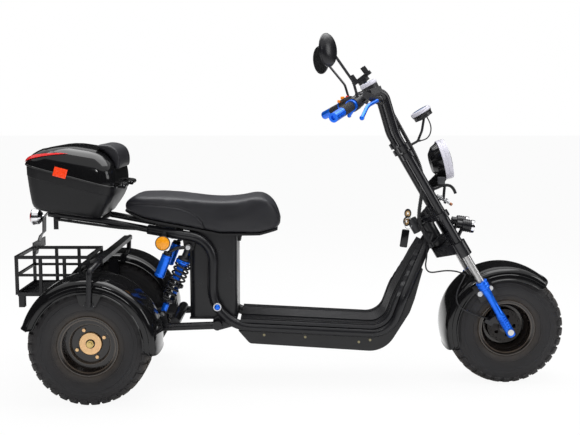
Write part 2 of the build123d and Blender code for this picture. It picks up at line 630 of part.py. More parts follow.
def tail_lamp_body():
    """Bright round lamp shell with its neck to the bracket."""
    profile = spun([(0, 0), (30, 0), (33, 6), (30, 28), (20, 39), (9, 42), (9, 49), (0, 49)])
    shell = revolve(profile, axis=Axis.Y)
    shell = Pos(TAIL_LAMP[0], 0, TAIL_LAMP[1]) * Rot(0, 0, -90) * shell
    return shell - plate_bracket()


def tail_lamp_lens():
    """Domed red lens on the rear of the lamp shell."""
    return Pos(TAIL_LAMP[0], 0, TAIL_LAMP[1]) * Rot(0, -90, 0) * dome(30, 9)


def plate_bracket():
    """Bent flat bar that hangs from the rack's tail and offers two holes for a number plate."""
    line = [(RACK_END[0] + 6, RACK_END[1] - 4), (-222, 690), (-246, 664), (-248, 604), (-262, 590),
            (-270, 566), (-284, 512)]
    bar = slab(strip(line, -2, 2), 24)
    wing = Pos(-270, 0, 554) * Box(4, 180, 36)
    for y in (-70, 70):
        wing -= Pos(-270, y, 554) * Rot(0, 90, 0) * Cylinder(3.3, 20)
    return bar + wing - rear_rack()


def side_reflectors():
    """Round amber reflectors, each on a short strap below the side tube."""
    y = FRAME_Y + TUBE_R + 10
    disc = Pos(251, y, 581) * Rot(90, 0, 0) * Cylinder(29, 8)
    strap = Pos(256, y - 5.5, 602) * Box(18, 3, 58)
    lug = rod((258, FRAME_Y - 10, 622), (258, y - 4, 622), 6)
    side = bent_tube(SIDE_PATH, SIDE_BENDS, TUBE_R)
    return both_sides(disc + strap + (lug - side))


# ---- top box ---------------------------------------------------------------------------------------
TRUNK = Location((TRUNK_X, 0, rack_height(TRUNK_X) + (RAIL_R + 0.1) / cos(radians(TRUNK_TILT))),
                 (0, TRUNK_TILT, 0))
SEAM_REAR = (-193.0, 177.0)
SEAM_FRONT = (154.0, 177.0 - 347 * tan(radians(SEAM_TILT)))
BASE_FLOOR = (-112.0, 110.0)


def lid_hinge_axis():
    """Middle of the lid's hinge pin, on lugs ahead of the seam's front edge."""
    return (SEAM_FRONT[0] + 26, SEAM_FRONT[1] + 4)


def trunk_seam(offset):
    """Plane of the joint between base and lid, raised by an offset."""
    mid_x = (SEAM_REAR[0] + SEAM_FRONT[0]) / 2
    mid_z = (SEAM_REAR[1] + SEAM_FRONT[1]) / 2
    tilt = radians(SEAM_TILT)
    return Plane(origin=(mid_x, 0, mid_z + offset), x_dir=(cos(tilt), 0, -sin(tilt)),
                 z_dir=(sin(tilt), 0, cos(tilt)))


def base_form(shrink):
    """Outer or inner form of the box base: small rounded floor, large rounded mouth."""
    floor_length = BASE_FLOOR[1] - BASE_FLOOR[0]
    low = Pos((BASE_FLOOR[0] + BASE_FLOOR[1]) / 2, 0, shrink) * RectangleRounded(
        floor_length - 2 * shrink, 2 * (150 - shrink), 40 - shrink)
    mouth_length = hypot(SEAM_FRONT[0] - SEAM_REAR[0], SEAM_FRONT[1] - SEAM_REAR[1])
    high = trunk_seam(0) * RectangleRounded(
        mouth_length - 2 * shrink, 2 * (TRUNK_HALF - shrink), 60 - shrink)
    return loft([low, high])


def top_box_base():
    """Tapered open bin with a flange around its mouth, leaning with the rack."""
    length = hypot(SEAM_FRONT[0] - SEAM_REAR[0], SEAM_FRONT[1] - SEAM_REAR[1])
    flange = RectangleRounded(length + 10, 2 * TRUNK_HALF + 10, 64) - RectangleRounded(
        length - 2 * TRUNK_WALL, 2 * (TRUNK_HALF - TRUNK_WALL), 60 - TRUNK_WALL)
    rim = extrude(trunk_seam(-8) * flange, amount=8)
    shape = base_form(0) - base_form(TRUNK_WALL) + rim
    x, z = lid_hinge_axis()
    for y in (-90, 90):
        knuckle = Pos(x, y, z) * Rot(90, 0, 0) * Cylinder(9, 22)
        arm = Pos(x - 12, y, z - 9.5) * Box(27, 22, 10)
        pin = Pos(x, y, z) * Rot(90, 0, 0) * Cylinder(2.8, 58)
        shape += knuckle + arm + pin
    return TRUNK * shape


def lid_form(shrink):
    """Outer or inner form of the lid: side outline, front outline and plan outline combined."""
    side = [(SEAM_REAR[0] - 4 + shrink, SEAM_REAR[1] - 20), (SEAM_REAR[0] - 6 + shrink, 190),
            (-184 + shrink, 220 - shrink), (-138, 252 - shrink), (-60, 269 - shrink), (10, 272 - shrink),
            (72, 262 - shrink), (112 - shrink, 236 - shrink), (134 - shrink, 196),
            (SEAM_FRONT[0] - 6 - shrink, SEAM_FRONT[1] + 20), (SEAM_FRONT[0] - 2 - shrink, SEAM_FRONT[1] - 20)]
    outline = make_face([Spline(*side), Line(side[0], side[-1])])
    body = slab(outline, 260)
    half = TRUNK_HALF + 2 - shrink
    front = [(half, 60), (half - 3, 180), (half - 20, 240 - shrink), (half - 80, 268 - shrink),
             (0, 279 - shrink)]
    arch = Spline(*front, *[(-y, z) for y, z in reversed(front[:-1])])
    face = make_face([arch, Line((-half, 60), (half, 60))])
    body = body & (Pos(-400, 0, 0) * extrude(Plane.YZ * face, amount=800))
    length = SEAM_FRONT[0] - SEAM_REAR[0] + 12 - 2 * shrink
    plan = Pos((SEAM_FRONT[0] + SEAM_REAR[0]) / 2, 0, 0) * RectangleRounded(length, 2 * half, 62)
    return body & extrude(plan, amount=400)


def box_lid():
    """Domed lid shell that closes on the flange, cut along the leaning seam."""
    cutter = trunk_seam(1.0)
    keep = extrude(cutter * Rectangle(900, 900), amount=400)
    shell = (lid_form(0) - lid_form(TRUNK_WALL)) & keep
    x, z = lid_hinge_axis()
    for y in (-112, -68, 68, 112):
        pin = Pos(x, y, z) * Rot(90, 0, 0)
        arm = Pos(x - 15, y, z + 5) * Box(36, 16, 8)
        shell += pin * Cylinder(9, 16) + (arm - lid_form(0))
        shell -= pin * Cylinder(3.0, 20)
    return TRUNK * shell


def backrest_pad():
    """Upholstered pad on the lid's front, folded over its top edge."""
    line = [(50, 277), (92, 283), (130, 270), (148, 240), (153, 192)]
    outer = Spline(*line)
    inner = Spline(*beside(line, -34))
    face = make_face([outer, inner, Line(outer @ 0, inner @ 0), Line(outer @ 1, inner @ 1)])
    return TRUNK * (slab(face, 120) - lid_form(-0.2))


# ---- seat -------------------------------------------------------------------------------------------
def seat_plan(margin):
    """Plan outline of the seat: widest behind, drawn in at the waist, round at both ends."""
    half = SEAT_HALF - margin
    points = [(93 + margin, 0), (101 + margin, half - 38), (160, half), (330, half - 4),
              (450, half - 14), (600, half - 16), (690 - margin, half - 46), (714 - margin, 0)]
    right = Spline(*points)
    left = Spline(*[(x, -y) for x, y in points])
    return extrude(make_face([right, left]), amount=1000)


def seat_pan():
    """Moulded tray under the cushion with the two hinge lugs."""
    pan = slab(strip(SEAT_UNDER, 0, PAN_T), 200) & seat_plan(8)
    x, z = SEAT_HINGE
    for y in (-48, 48):
        ring = Pos(x, y, z) * Rot(90, 0, 0) * Cylinder(6.5, 14)
        web = Pos(x, y, z + 8) * Box(9, 14, 14)
        pan += ring + web
        pan -= Pos(x, y, z) * Rot(90, 0, 0) * Cylinder(4.2, 40)
    rest_z = TAIL[1] - 16 + CROSS_R + BEARING_GAP
    for y in (-70, 70):
        pan += Pos(300, y, rest_z + 12) * Cylinder(9, 24)
    return pan


def seat_cushion():
    """Plain closed solid of the long seat cushion, resting on its pan."""
    under = beside(SEAT_UNDER, PAN_T)
    top = [(93, 708), (98, 736), (122, 753), (170, 757), (255, 756), (349, 748), (419, 740), (490, 739),
           (560, 746), (624, 754), (662, 744), (696, 700), (712, 648)]
    upper = Spline(*top)
    outline = make_face([upper, Polyline(top[0], *under, top[-1])])
    return slab(outline, 200) & seat_plan(0)


# ---- steering ---------------------------------------------------------------------------------------
def leg_circles(radius):
    """Both fork legs in plan, seen down the steering axis."""
    return Pos(FORK_OFFSET, FORK_Y) * Circle(radius) + Pos(FORK_OFFSET, -FORK_Y) * Circle(radius)


def yoke_outline(leg_r, stem_r):
    """Plan of a clamp: two leg eyes, the stem boss and the waisted bridge between them."""
    bridge = make_face(Polyline((-stem_r * 0.8, -stem_r * 0.6), (20, -FORK_Y + leg_r),
                                (FORK_OFFSET - leg_r + 6, -FORK_Y - 4), (FORK_OFFSET + leg_r - 6, -FORK_Y),
                                (FORK_OFFSET + leg_r - 10, FORK_Y), (FORK_OFFSET - leg_r + 6, FORK_Y + 4),
                                (20, FORK_Y - leg_r), (-stem_r * 0.8, stem_r * 0.6), close=True))
    return bridge + leg_circles(leg_r) + Circle(stem_r)


def lower_clamp():
    """Thick lower clamp with the steering stem and the two bearing races pressed on it."""
    clamp = extrude(Plane.XY.offset(CLAMP_HIGH) * yoke_outline(RISER_R + 9, 36), amount=-BRIDGE_T)
    clamp += extrude(Plane.XY.offset(CLAMP_LOW) * leg_circles(RISER_R + 9), amount=CLAMP_T)
    clamp -= extrude(Plane.XY.offset(CLAMP_LOW) * leg_circles(STANCHION_R), amount=CLAMP_T / 2)
    clamp -= extrude(Plane.XY.offset(CLAMP_HIGH - CLAMP_T / 2) * leg_circles(RISER_R), amount=CLAMP_T)
    for low in (HEAD_LOW - CLAMP_GAP, HEAD_HIGH - RACE_T + 1):
        clamp += Pos(0, 0, low) * extrude(Circle(BORE_R - BEARING_GAP), amount=RACE_T + 3)
    clamp += Pos(0, 0, CLAMP_HIGH - 5) * extrude(Circle(STEM_R), amount=YOKE_HIGH - CLAMP_HIGH + 5)
    return STEER * clamp


def upper_yoke():
    """Top clamp over the head tube, through which both risers pass."""
    yoke = extrude(Plane.XY.offset(YOKE_LOW) * yoke_outline(RISER_R + 8, 30), amount=YOKE_T)
    yoke -= extrude(Plane.XY.offset(YOKE_LOW) * leg_circles(RISER_R), amount=YOKE_T)
    yoke -= extrude(Plane.XY.offset(YOKE_LOW - 20) * Circle(STEM_R), amount=YOKE_T + 40)
    yoke -= extrude(Plane.XY.offset(YOKE_LOW - 20) * Circle(BORE_R), amount=20)
    yoke += Pos(0, 0, YOKE_HIGH) * extrude(RegularPolygon(20, 6), amount=12)
    return STEER * yoke


def fork_stanchions():
    """Bright inner fork tubes from the sliders up into the lower clamp."""
    return STEER * extrude(Plane.XY.offset(SLIDER_TOP - 40) * leg_circles(STANCHION_R),
                           amount=CLAMP_LOW + CLAMP_T / 2 - SLIDER_TOP + 40)


def fork_sliders():
    """Anodised sliders: collar, waisted leg and the lug that holds the axle."""
    line = [(0, -24), (13, -24), (SLIDER_R, -18), (SLIDER_R, 30), (14, 60), (14, 150), (SLIDER_R, 180),
            (SLIDER_R, SLIDER_TOP - 38), (COLLAR_R, SLIDER_TOP - 34), (COLLAR_R, SLIDER_TOP - 2),
            (COLLAR_R - 2, SLIDER_TOP), (0, SLIDER_TOP)]
    leg = revolve(Plane.XZ * make_face(Polyline(*line, close=True)), axis=Axis.Z)
    leg -= extrude(Plane.XY.offset(SLIDER_TOP - 40) * Circle(STANCHION_R), amount=50)
    leg -= Rot(90, 0, 0) * Cylinder(AXLE_R, 60)
    both = Pos(FORK_OFFSET, FORK_Y, 0) * leg + Pos(FORK_OFFSET, -FORK_Y, 0) * leg
    return STEER * both


def front_axle():
    """Axle spindle with its end nuts and the spacers either side of the hub."""
    axle = rod((WHEELBASE, -FORK_Y - 24, AXLE_Z), (WHEELBASE, FORK_Y + 24, AXLE_Z), AXLE_R)
    for side in (-1, 1):
        axle += rod((WHEELBASE, side * (FORK_Y + SLIDER_R + 0.2), AXLE_Z),
                    (WHEELBASE, side * (FORK_Y + SLIDER_R + 9), AXLE_Z), 12)
        axle += rod((WHEELBASE, side * 66, AXLE_Z),
                    (WHEELBASE, side * (FORK_Y - SLIDER_R - 0.2), AXLE_Z), 11)
    return axle


FRONT_FENDER_R = 251.0


def front_fender():
    """Front fender, carried by a plate on the inner side of each slider."""
    half = TYRE_W / 2 + RUN_GAP
    section = fender_section(FRONT_FENDER_R, -half, half, 200, 200, FENDER_T)
    ring = revolve(Rot(0, -50, 0) * section, axis=Axis.Y, revolution_arc=-151)
    ring = Pos(WHEELBASE, 0, AXLE_Z) * ring
    plate = make_face(Polyline((FORK_OFFSET - 40, 150), (FORK_OFFSET + 36, 150),
                               (FORK_OFFSET + 36, 222), (FORK_OFFSET - 40, 222), close=True))
    pads = []
    for side in (-1, 1):
        low = side * (half + FENDER_T - 1)
        depth = FORK_Y - SLIDER_R - half - FENDER_T + 2
        pads.append(STEER * extrude(Plane.XZ.offset(-low) * plate, amount=-side * depth))
    return ring + pads[0] + pads[1] - fork_sliders() - fork_stanchions()


LAMP_BAR = 640.0         # height of the headlight's cross bar along the axis


def fork_risers():
    """Fat black tubes that carry the handlebar, from the lower clamp to the ring clamps."""
    low = CLAMP_HIGH - CLAMP_T / 2
    tubes = extrude(Plane.XY.offset(low) * leg_circles(RISER_R), amount=RISER_TOP - low)
    x = FORK_OFFSET + RISER_R - 3
    bar = Pos(x, 0, LAMP_BAR) * Rot(90, 0, 0) * Cylinder(9, 2 * FORK_Y)
    return STEER * (tubes + bar)


def bar_point(forward, left, up):
    """Handlebar point in the leaning frame as a plain tuple."""
    p = steer_point(forward, left, up)
    return (p.X, p.Y, p.Z)


BAR_BENDS = [120, 34, 60, 60]
CROSS_BAR = (1113.0, 1128.0)
GRIP_IN = (975.0, 262.0, 1112.0)
GRIP_OUT = (903.0, 386.0, 1070.0)


def bar_path():
    """Left half of the handlebar: up in line with the riser, then out, back and down to the grip."""
    return [bar_point(FORK_OFFSET, FORK_Y, RISER_TOP + 0.5), bar_point(FORK_OFFSET, FORK_Y, RISER_TOP + 36),
            (1102, 128, 1164), (1040, 176, 1150), GRIP_IN, GRIP_OUT]


def handlebar():
    """High handlebar: two uprights, the swept ends and the cross bar between their tops."""
    half = bent_tube(bar_path(), BAR_BENDS, BAR_R)
    cross = rod((CROSS_BAR[0], -130, CROSS_BAR[1]), (CROSS_BAR[0], 130, CROSS_BAR[1]), 11)
    return half + mirror(half, about=Plane.XZ) + cross


def upper_clamp():
    """Two ring clamps where the uprights enter the risers, tied by a bridge plate."""
    ring = Circle(RISER_R + 9) - Circle(RISER_R)
    rings = None
    for side in (-1, 1):
        for low in (RISER_TOP - 58, RISER_TOP - 26):
            one = Pos(FORK_OFFSET, side * FORK_Y, low) * extrude(ring, amount=22)
            rings = one if rings is None else rings + one
    bridge = Pos(FORK_OFFSET, 0, RISER_TOP - 31) * Box(16, 2 * (FORK_Y - RISER_R), 40)
    return STEER * (rings + bridge)


def along_grip(start, end, radius):
    """A sleeve around the swept end of the handlebar, between two distances from its inner end."""
    a = Vector(*GRIP_IN)
    run = (Vector(*GRIP_OUT) - a).normalized()
    return rod(a + run * start, a + run * end, radius)


GRIP_L = (Vector(*GRIP_OUT) - Vector(*GRIP_IN)).length


def grips():
    """Rubber grips on the swept ends."""
    sleeve = along_grip(22, 96, 18.5) - along_grip(0, 200, BAR_R)
    return both_sides(sleeve)


def grip_ends():
    """Anodised ring and long end cap of each grip."""
    ring = along_grip(8, 21.5, 23) - along_grip(0, 200, BAR_R)
    cap = along_grip(96.5, GRIP_L + 14, 18) - along_grip(0, GRIP_L, BAR_R)
    cap = cap - along_grip(GRIP_L + 6, GRIP_L + 30, 9)
    return both_sides(Compound([ring, cap]))


def brake_levers():
    """Curved lever blades in front of the grips, each pivoting in its perch."""
    path = [(1066, 238, 1127), (1026, 298, 1108), (1003, 350, 1068)]
    blade = bent_tube(path, [90], 7)
    tip = Pos(1001, 354, 1065) * Sphere(9)
    return both_sides(blade + tip)


def controls():
    """Brake perch with its reservoir and the switch housing beside it, at the inner end of each grip."""
    clamp = along_grip(-50, -26, 24) - along_grip(-200, 60, BAR_R)
    block = Pos(1044, 224, 1138) * Rot(0, 25, -40) * Box(52, 40, 26)
    cup = Pos(1052, 214, 1160) * Rot(0, -20, -40) * Box(58, 40, 24)
    body = clamp + block + cup
    body += along_grip(-26, 7.5, 26)
    return both_sides(body) - handlebar()


MIRROR_C = (873.0, 360.0, 1304.0)


def mirror_plane():
    """Face of the left mirror: it looks back, inward and a little down."""
    return Plane(origin=MIRROR_C, z_dir=(-0.80, -0.58, -0.10), x_dir=(-0.58, 0.80, 0))


def mirrors():
    """Mirror shells with their stems down to the clamps on the bar."""
    face = mirror_plane()
    bowl = split(scale(Sphere(1), by=(49, 59, 24)), bisect_by=Plane.XY, keep=Keep.BOTTOM)
    rim = extrude(face * (Ellipse(50, 60)), amount=-6)
    shell = face * Pos(0, 0, -4) * bowl + rim
    stem = bent_tube([(996, 250, 1128), (975, 262, 1196), (905, 330, 1286), (878, 356, 1302)],
                     [30, 60], 5)
    shell = shell - extrude(face.offset(-2) * Ellipse(46, 56), amount=2)
    stem = stem - extrude(face.offset(-8) * Ellipse(60, 70), amount=60)
    return both_sides(shell + stem) - handlebar() - controls()


def mirror_glass():
    """Oval glass set in each shell."""
    face = mirror_plane()
    return both_sides(extrude(face.offset(-2) * Ellipse(46, 56), amount=1.4))


HEADLIGHT = Plane(origin=(1368, 0, 898), x_dir=(0, 1, 0), z_dir=(cos(radians(16)), 0, sin(radians(16))))


def headlight():
    """Deep round lamp shell with the bracket that bolts it to the cross bar between the risers."""
    line = [(0, -66), (40, -66), (62, -50), (73, -28), (76, -24), (76, 0), (0, 0)]
    shell = HEADLIGHT * revolve(Plane.XZ * make_face(Polyline(*line, close=True)), axis=Axis.Z)
    x = FORK_OFFSET + RISER_R - 3
    bar = steer_point(x, 0, LAMP_BAR)
    ring = rod((bar.X, -22, bar.Z), (bar.X, 22, bar.Z), 15)
    foot = make_face(Polyline((bar.X, bar.Z - 6), (1346, 786), (1380, 836), (1342, 850), (bar.X, bar.Z + 12),
                              close=True))
    inner = rod((bar.X, -40, bar.Z), (bar.X, 40, bar.Z), 9.1)
    foot = slab(foot, 18) - HEADLIGHT * Pos(0, 0, -10) * Cylinder(80.3, 33)
    return shell + foot + ring - inner


def headlight_lens():
    """Domed front glass of the lamp in its deep pale ring."""
    band = [(76.1, -26), (80, -26), (80, 6), (73, 6), (73, 0.1), (76.1, 0.1)]
    ring = revolve(Plane.XZ * make_face(Polyline(*band, close=True)), axis=Axis.Z)
    return HEADLIGHT * (ring + Pos(0, 0, 0.1) * dome(74, 19))


def instrument():
    """Two round displays: one on a thin stalk from the ring clamps, one clipped to the cross bar."""
    dial = Plane(origin=(1262, 0, 1084), x_dir=(0, 1, 0), z_dir=(-0.515, 0, 0.857))
    body = extrude(dial * Circle(38), amount=-26)
    bezel = extrude(dial * (Circle(42) - Circle(36)), amount=5) + extrude(dial.offset(-4) * Circle(42), amount=4)
    bridge = steer_point(FORK_OFFSET + 8, 0, RISER_TOP - 31)
    path = [(bridge.X - 4, 0, bridge.Z - 4), (1252, 0, 968), (1268, 0, 1010), (1276, 0, 1066)]
    arm = bent_tube(path, [20, 60], 5)
    clip = end_fitting(DIAL_CABLE[-1], DIAL_CABLE[-2], 15, DIAL_CABLE_R + 1.5)
    second = Plane(origin=(1048, -60, 1190), x_dir=(0, 1, 0), z_dir=(-0.47, 0, 0.88))
    drum = extrude(second * Circle(33), amount=-24)
    hook = rod((1053, -57, 1180), (CROSS_BAR[0] - 6, -57, CROSS_BAR[1] + 6), 7)
    hook += rod((CROSS_BAR[0], -67, CROSS_BAR[1]), (CROSS_BAR[0], -47, CROSS_BAR[1]), 15)
    hook -= rod((CROSS_BAR[0], -90, CROSS_BAR[1]), (CROSS_BAR[0], -20, CROSS_BAR[1]), 11)
    return Compound([*(body + bezel + arm + clip - upper_clamp()).solids(), *(drum + hook).solids()])


def spot_lamps():
    """Two small driving lamps at the front of the lower clamp."""
    lamp = rod((1424, 60, 640), (1470, 60, 632), 24) + rod((1404, 60, 643), (1424, 60, 640), 16)
    base = steer_point(FORK_OFFSET + 12, 60, CLAMP_HIGH - 2)
    lamp += rod((base.X, 60, base.Z), (1426, 60, 628), 7)
    return both_sides(lamp) - lower_clamp()


def phone_holder():
    """Spring clamp for a phone above the middle of the cross bar: backing block and four hooked jaws."""
    plate = Plane(origin=(1022, 0, 1222), x_dir=(0, 1, 0), z_dir=(-0.6, 0, 0.8))
    back = extrude(plate * RectangleRounded(60, 84, 8), amount=-14)
    back += extrude(plate.offset(-14) * Circle(24), amount=-14)
    jaws = None
    for x in (-34, 34):
        for y in (-28, 28):
            arm = extrude(plate.offset(-12) * Pos(x * 0.9, y) * Rectangle(26, 14), amount=10)
            arm += extrude(plate.offset(-12) * Pos(x * 1.2, y) * Rectangle(9, 14), amount=38)
            jaws = arm if jaws is None else jaws + arm
    bar = rod((CROSS_BAR[0], -16, CROSS_BAR[1]), (CROSS_BAR[0], 16, CROSS_BAR[1]), 15)
    stem = rod((CROSS_BAR[0], 0, CROSS_BAR[1]), (1038, 0, 1201), 8) + bar
    return back + jaws + stem - rod((CROSS_BAR[0], -40, CROSS_BAR[1]), (CROSS_BAR[0], 40, CROSS_BAR[1]), 11)


def ignition():
    """Ignition barrel behind the top yoke, with its key."""
    barrel = Pos(-48, -42, HEAD_HIGH - 12) * extrude(Circle(20), amount=58)
    arm = Pos(-34, -31, YOKE_LOW + 8) * Rot(0, 0, 41) * Box(38, 20, 12)
    return STEER * (barrel + arm) - upper_yoke()


CALIPER_ANGLE = 148.0    # where the caliper grips the disc, from straight ahead
CALIPER_R = 66.0
CALIPER_Y = -(ROTOR_Y + ROTOR_T / 2 + 5)
HOSE_END = (1530.0, -84.0, 267.0)


def brake_caliper():
    """Front caliper astride the disc behind the right leg, on a plate bolted to the leg."""
    turn = Pos(WHEELBASE, 0, AXLE_Z) * Rot(0, -CALIPER_ANGLE, 0)
    block = Pos(CALIPER_R, CALIPER_Y, 0) * Box(36, 32, 56)
    block = fillet(block.edges().filter_by(Axis.Y), 6)
    slot = Pos(CALIPER_R - 12, CALIPER_Y + 5, 0) * Box(36, ROTOR_T + 3, 70)
    posts = Pos(CALIPER_R + 8, -94, 0) * Rot(90, 0, 0) * Cylinder(6, 50)
    inner = FORK_Y - SLIDER_R - 8
    leg = steer_point(FORK_OFFSET, 0, 50)
    grip = (turn * Pos(CALIPER_R + 8, 0, 0)).position
    reach = make_face(Polyline((leg.X - 12, leg.Z - 20), (leg.X + 14, leg.Z - 10), (leg.X, leg.Z + 34),
                               (grip.X + 2, grip.Z + 11), (grip.X - 10, grip.Z + 3),
                               (grip.X - 6, grip.Z - 10), close=True))
    plate = side_plate(reach, -inner - 6, -inner)
    pad = Pos(leg.X - 1, -FORK_Y + SLIDER_R, leg.Z + 4) * Box(20, 18, 30)
    banjo = end_fitting(HOSE[-1], HOSE[-2], 26, 6)
    return turn * (block - slot + posts) + plate + pad + banjo - fork_sliders() - front_axle()


# ---- cables ------------------------------------------------------------------------------------------
def cable(points, radius):
    """A cable along straight runs joined by arcs, each as large as its two runs allow."""
    radii = []
    for i in range(1, len(points) - 1):
        before = Vector(*points[i]) - Vector(*points[i - 1])
        after = Vector(*points[i + 1]) - Vector(*points[i])
        turn = radians(before.get_angle(after))
        radii.append(min(0.45 * min(before.length, after.length) / tan(turn / 2), 2000))
    tube = bent_tube(points, radii, radius)
    path = FilletPolyline(*points, radius=radii)
    print(f"cable radius {radius}: length {path.length:.0f}, tightest arc {min(radii):.0f}, "
          f"volume ratio {tube.volume / (pi * radius ** 2 * path.length):.3f}")
    return tube


LOOM_R = 8.0
LOOM_SPLIT = 500.0       # height along the axis where the loom passes from the steering to the neck
LOOM_GAP = 3.0
LOOM = [(93.6, -78, 1013.7), (93, -79, 958), (91.5, -82, 902), (90, -87, 846), (88, -91, 790),
        (82, -93, 736), (66, -91, 688), (42, -87, 648), (14, -82, 612), (-14, -77, 574),
        (-34, -72, 530), (-34, -72, GLAND_HIGH)]
HOSE_R = 3.0
HOSE_SPLIT = 345.0       # height along the axis where the hose passes from the frame to the fork
HOSE = [(1286, -70, 540), (1286, -72, 518), (1283, -73, 498), (1281, -72, 479), (1285, -70, 462),
        (1296, -66, 451), (1312, -60, 448), (1332, -50, 449), (1360, -38, 451), (1389, -25, 449),
        (1415, -14, 444), (1428, -13.5, 440), (1439, -20, 436.5), (1445.5, -31, 436),
        (1445.5, -44, 434.5), (1437, -62, 428), (1425, -86, 417), (1411, -108, 402),
        (1400, -121, 381), (1396, -125, 358), (1402, -125, 335), (1418, -124, 316), (1440, -122, 303),
        (1464, -119, 293), (1487, -112, 284), (1508, -100, 276), HOSE_END]
SLEEVE_R = 6.0
SLEEVE = [(-160, -113.8, 667.6), (-118, -113.2, 661.5), (-66, -111.9, 653.8), (-14, -112.5, 647),
          (38, -115, 640.2), (90, -119.5, 634.4), (138, -122.8, 632), (176, -123.5, 631)]
DIAL_CABLE_R = 2.5
DIAL_CABLE = [(1285.7, 10, 1067.8), (1297, 10.5, 1049), (1305, 11.5, 1029), (1306, 12, 1007),
              (1298, 11.5, 986), (1282, 10, 973), (1264, 6, 970)]


def wiring_loom():
    """Corrugated wiring loom from the handlebar down to just above the neck."""
    return split(STEER * cable(LOOM, LOOM_R), bisect_by=STEER.offset(LOOM_SPLIT + LOOM_GAP), keep=Keep.TOP)


def loom_neck():
    """Lowest stretch of the loom, held by its gland on the neck."""
    return split(STEER * cable(LOOM, LOOM_R), bisect_by=STEER.offset(LOOM_SPLIT - LOOM_GAP), keep=Keep.BOTTOM)


def hose_part(keep):
    """Front brake hose above or below the height where it passes to the fork."""
    hose = cable(HOSE, HOSE_R)
    cut = STEER.offset(HOSE_SPLIT)
    return split(hose, bisect_by=cut, keep=keep)


def brake_hose_neck():
    """Upper stretch of the front brake hose, held by the neck."""
    return hose_part(Keep.TOP)


def brake_hose_fork():
    """Lower stretch of the front brake hose, over the fender to the caliper."""
    return hose_part(Keep.BOTTOM)


def rack_sleeve():
    """Ribbed sleeve with the rear wiring, slung under the right rail."""
    return cable(SLEEVE, SLEEVE_R)


def dial_cable():
    """Thin cable that loops from the display back to its bracket."""
    return cable(DIAL_CABLE, DIAL_CABLE_R)


PARTS = {
    "main_frame": main_frame,
    "steering_neck": steering_neck,
    "floor_mat": floor_mat,
    "belly_pan": belly_pan,
    "battery_box": battery_box,
    "battery": battery,
    "rear_rack": rear_rack,
    "swing_arm": swing_arm,
    "rear_axle": rear_axle,
    "dampers": dampers,
    "damper_springs": damper_springs,
    "rear_fenders": rear_fenders,
    "fender_hoop": fender_hoop,
    "basket": basket,
    "tail_lamp_body": tail_lamp_body,
    "tail_lamp_lens": tail_lamp_lens,
    "plate_bracket": plate_bracket,
    "side_reflectors": side_reflectors,
    "top_box_base": top_box_base,
    "box_lid": box_lid,
    "backrest_pad": backrest_pad,
    "seat_pan": seat_pan,
    "seat_cushion": seat_cushion,
    "lower_clamp": lower_clamp,
    "upper_yoke": upper_yoke,
    "fork_stanchions": fork_stanchions,
    "fork_sliders": fork_sliders,
    "front_axle": front_axle,
    "front_fender": front_fender,
    "fork_risers": fork_risers,
    "upper_clamp": upper_clamp,
    "handlebar": handlebar,
    "grips": grips,
    "grip_ends": grip_ends,
    "brake_levers": brake_levers,
    "controls": controls,
    "mirrors": mirrors,
    "mirror_glass": mirror_glass,
    "headlight": headlight,
    "headlight_lens": headlight_lens,
    "instrument": instrument,
    "spot_lamps": spot_lamps,
    "phone_holder": phone_holder,
    "ignition": ignition,
    "brake_caliper": brake_caliper,
    "wiring_loom": wiring_loom,
    "loom_neck": loom_neck,
    "brake_hose_neck": brake_hose_neck,
    "brake_hose_fork": brake_hose_fork,
    "rack_sleeve": rack_sleeve,
    "dial_cable": dial_cable,
    "front_rim": front_rim,
    "front_rotor": front_rotor,
    "front_tyre": lambda: tyre((WHEELBASE, 0, AXLE_Z)),
    "rear_tyre_left": lambda: tyre((0, WHEEL_Y, AXLE_Z)),
    "rear_tyre_right": lambda: tyre((0, -WHEEL_Y, AXLE_Z)),
    "rear_rim_left": lambda: rear_rim(1),
    "rear_rim_right": lambda: rear_rim(-1),
    "hub_cap_left": lambda: hub_cap(1),
    "hub_cap_right": lambda: hub_cap(-1),
}

FRONT_END = WHEELBASE + TYRE_D / 2
REAR_END = BASKET[0]
MIDDLE_X = (FRONT_END + REAR_END) / 2

for name, build in PARTS.items():
    export_step(Pos(-MIDDLE_X, 0, 0) * build(), f"parts/{name}.step")
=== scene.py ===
"""An electric tricycle with fat tyres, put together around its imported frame, in metres."""
import json
import math
from math import cos, pi, radians, sin

import bmesh
import bpy
import numpy as np
from mathutils import Matrix, Vector


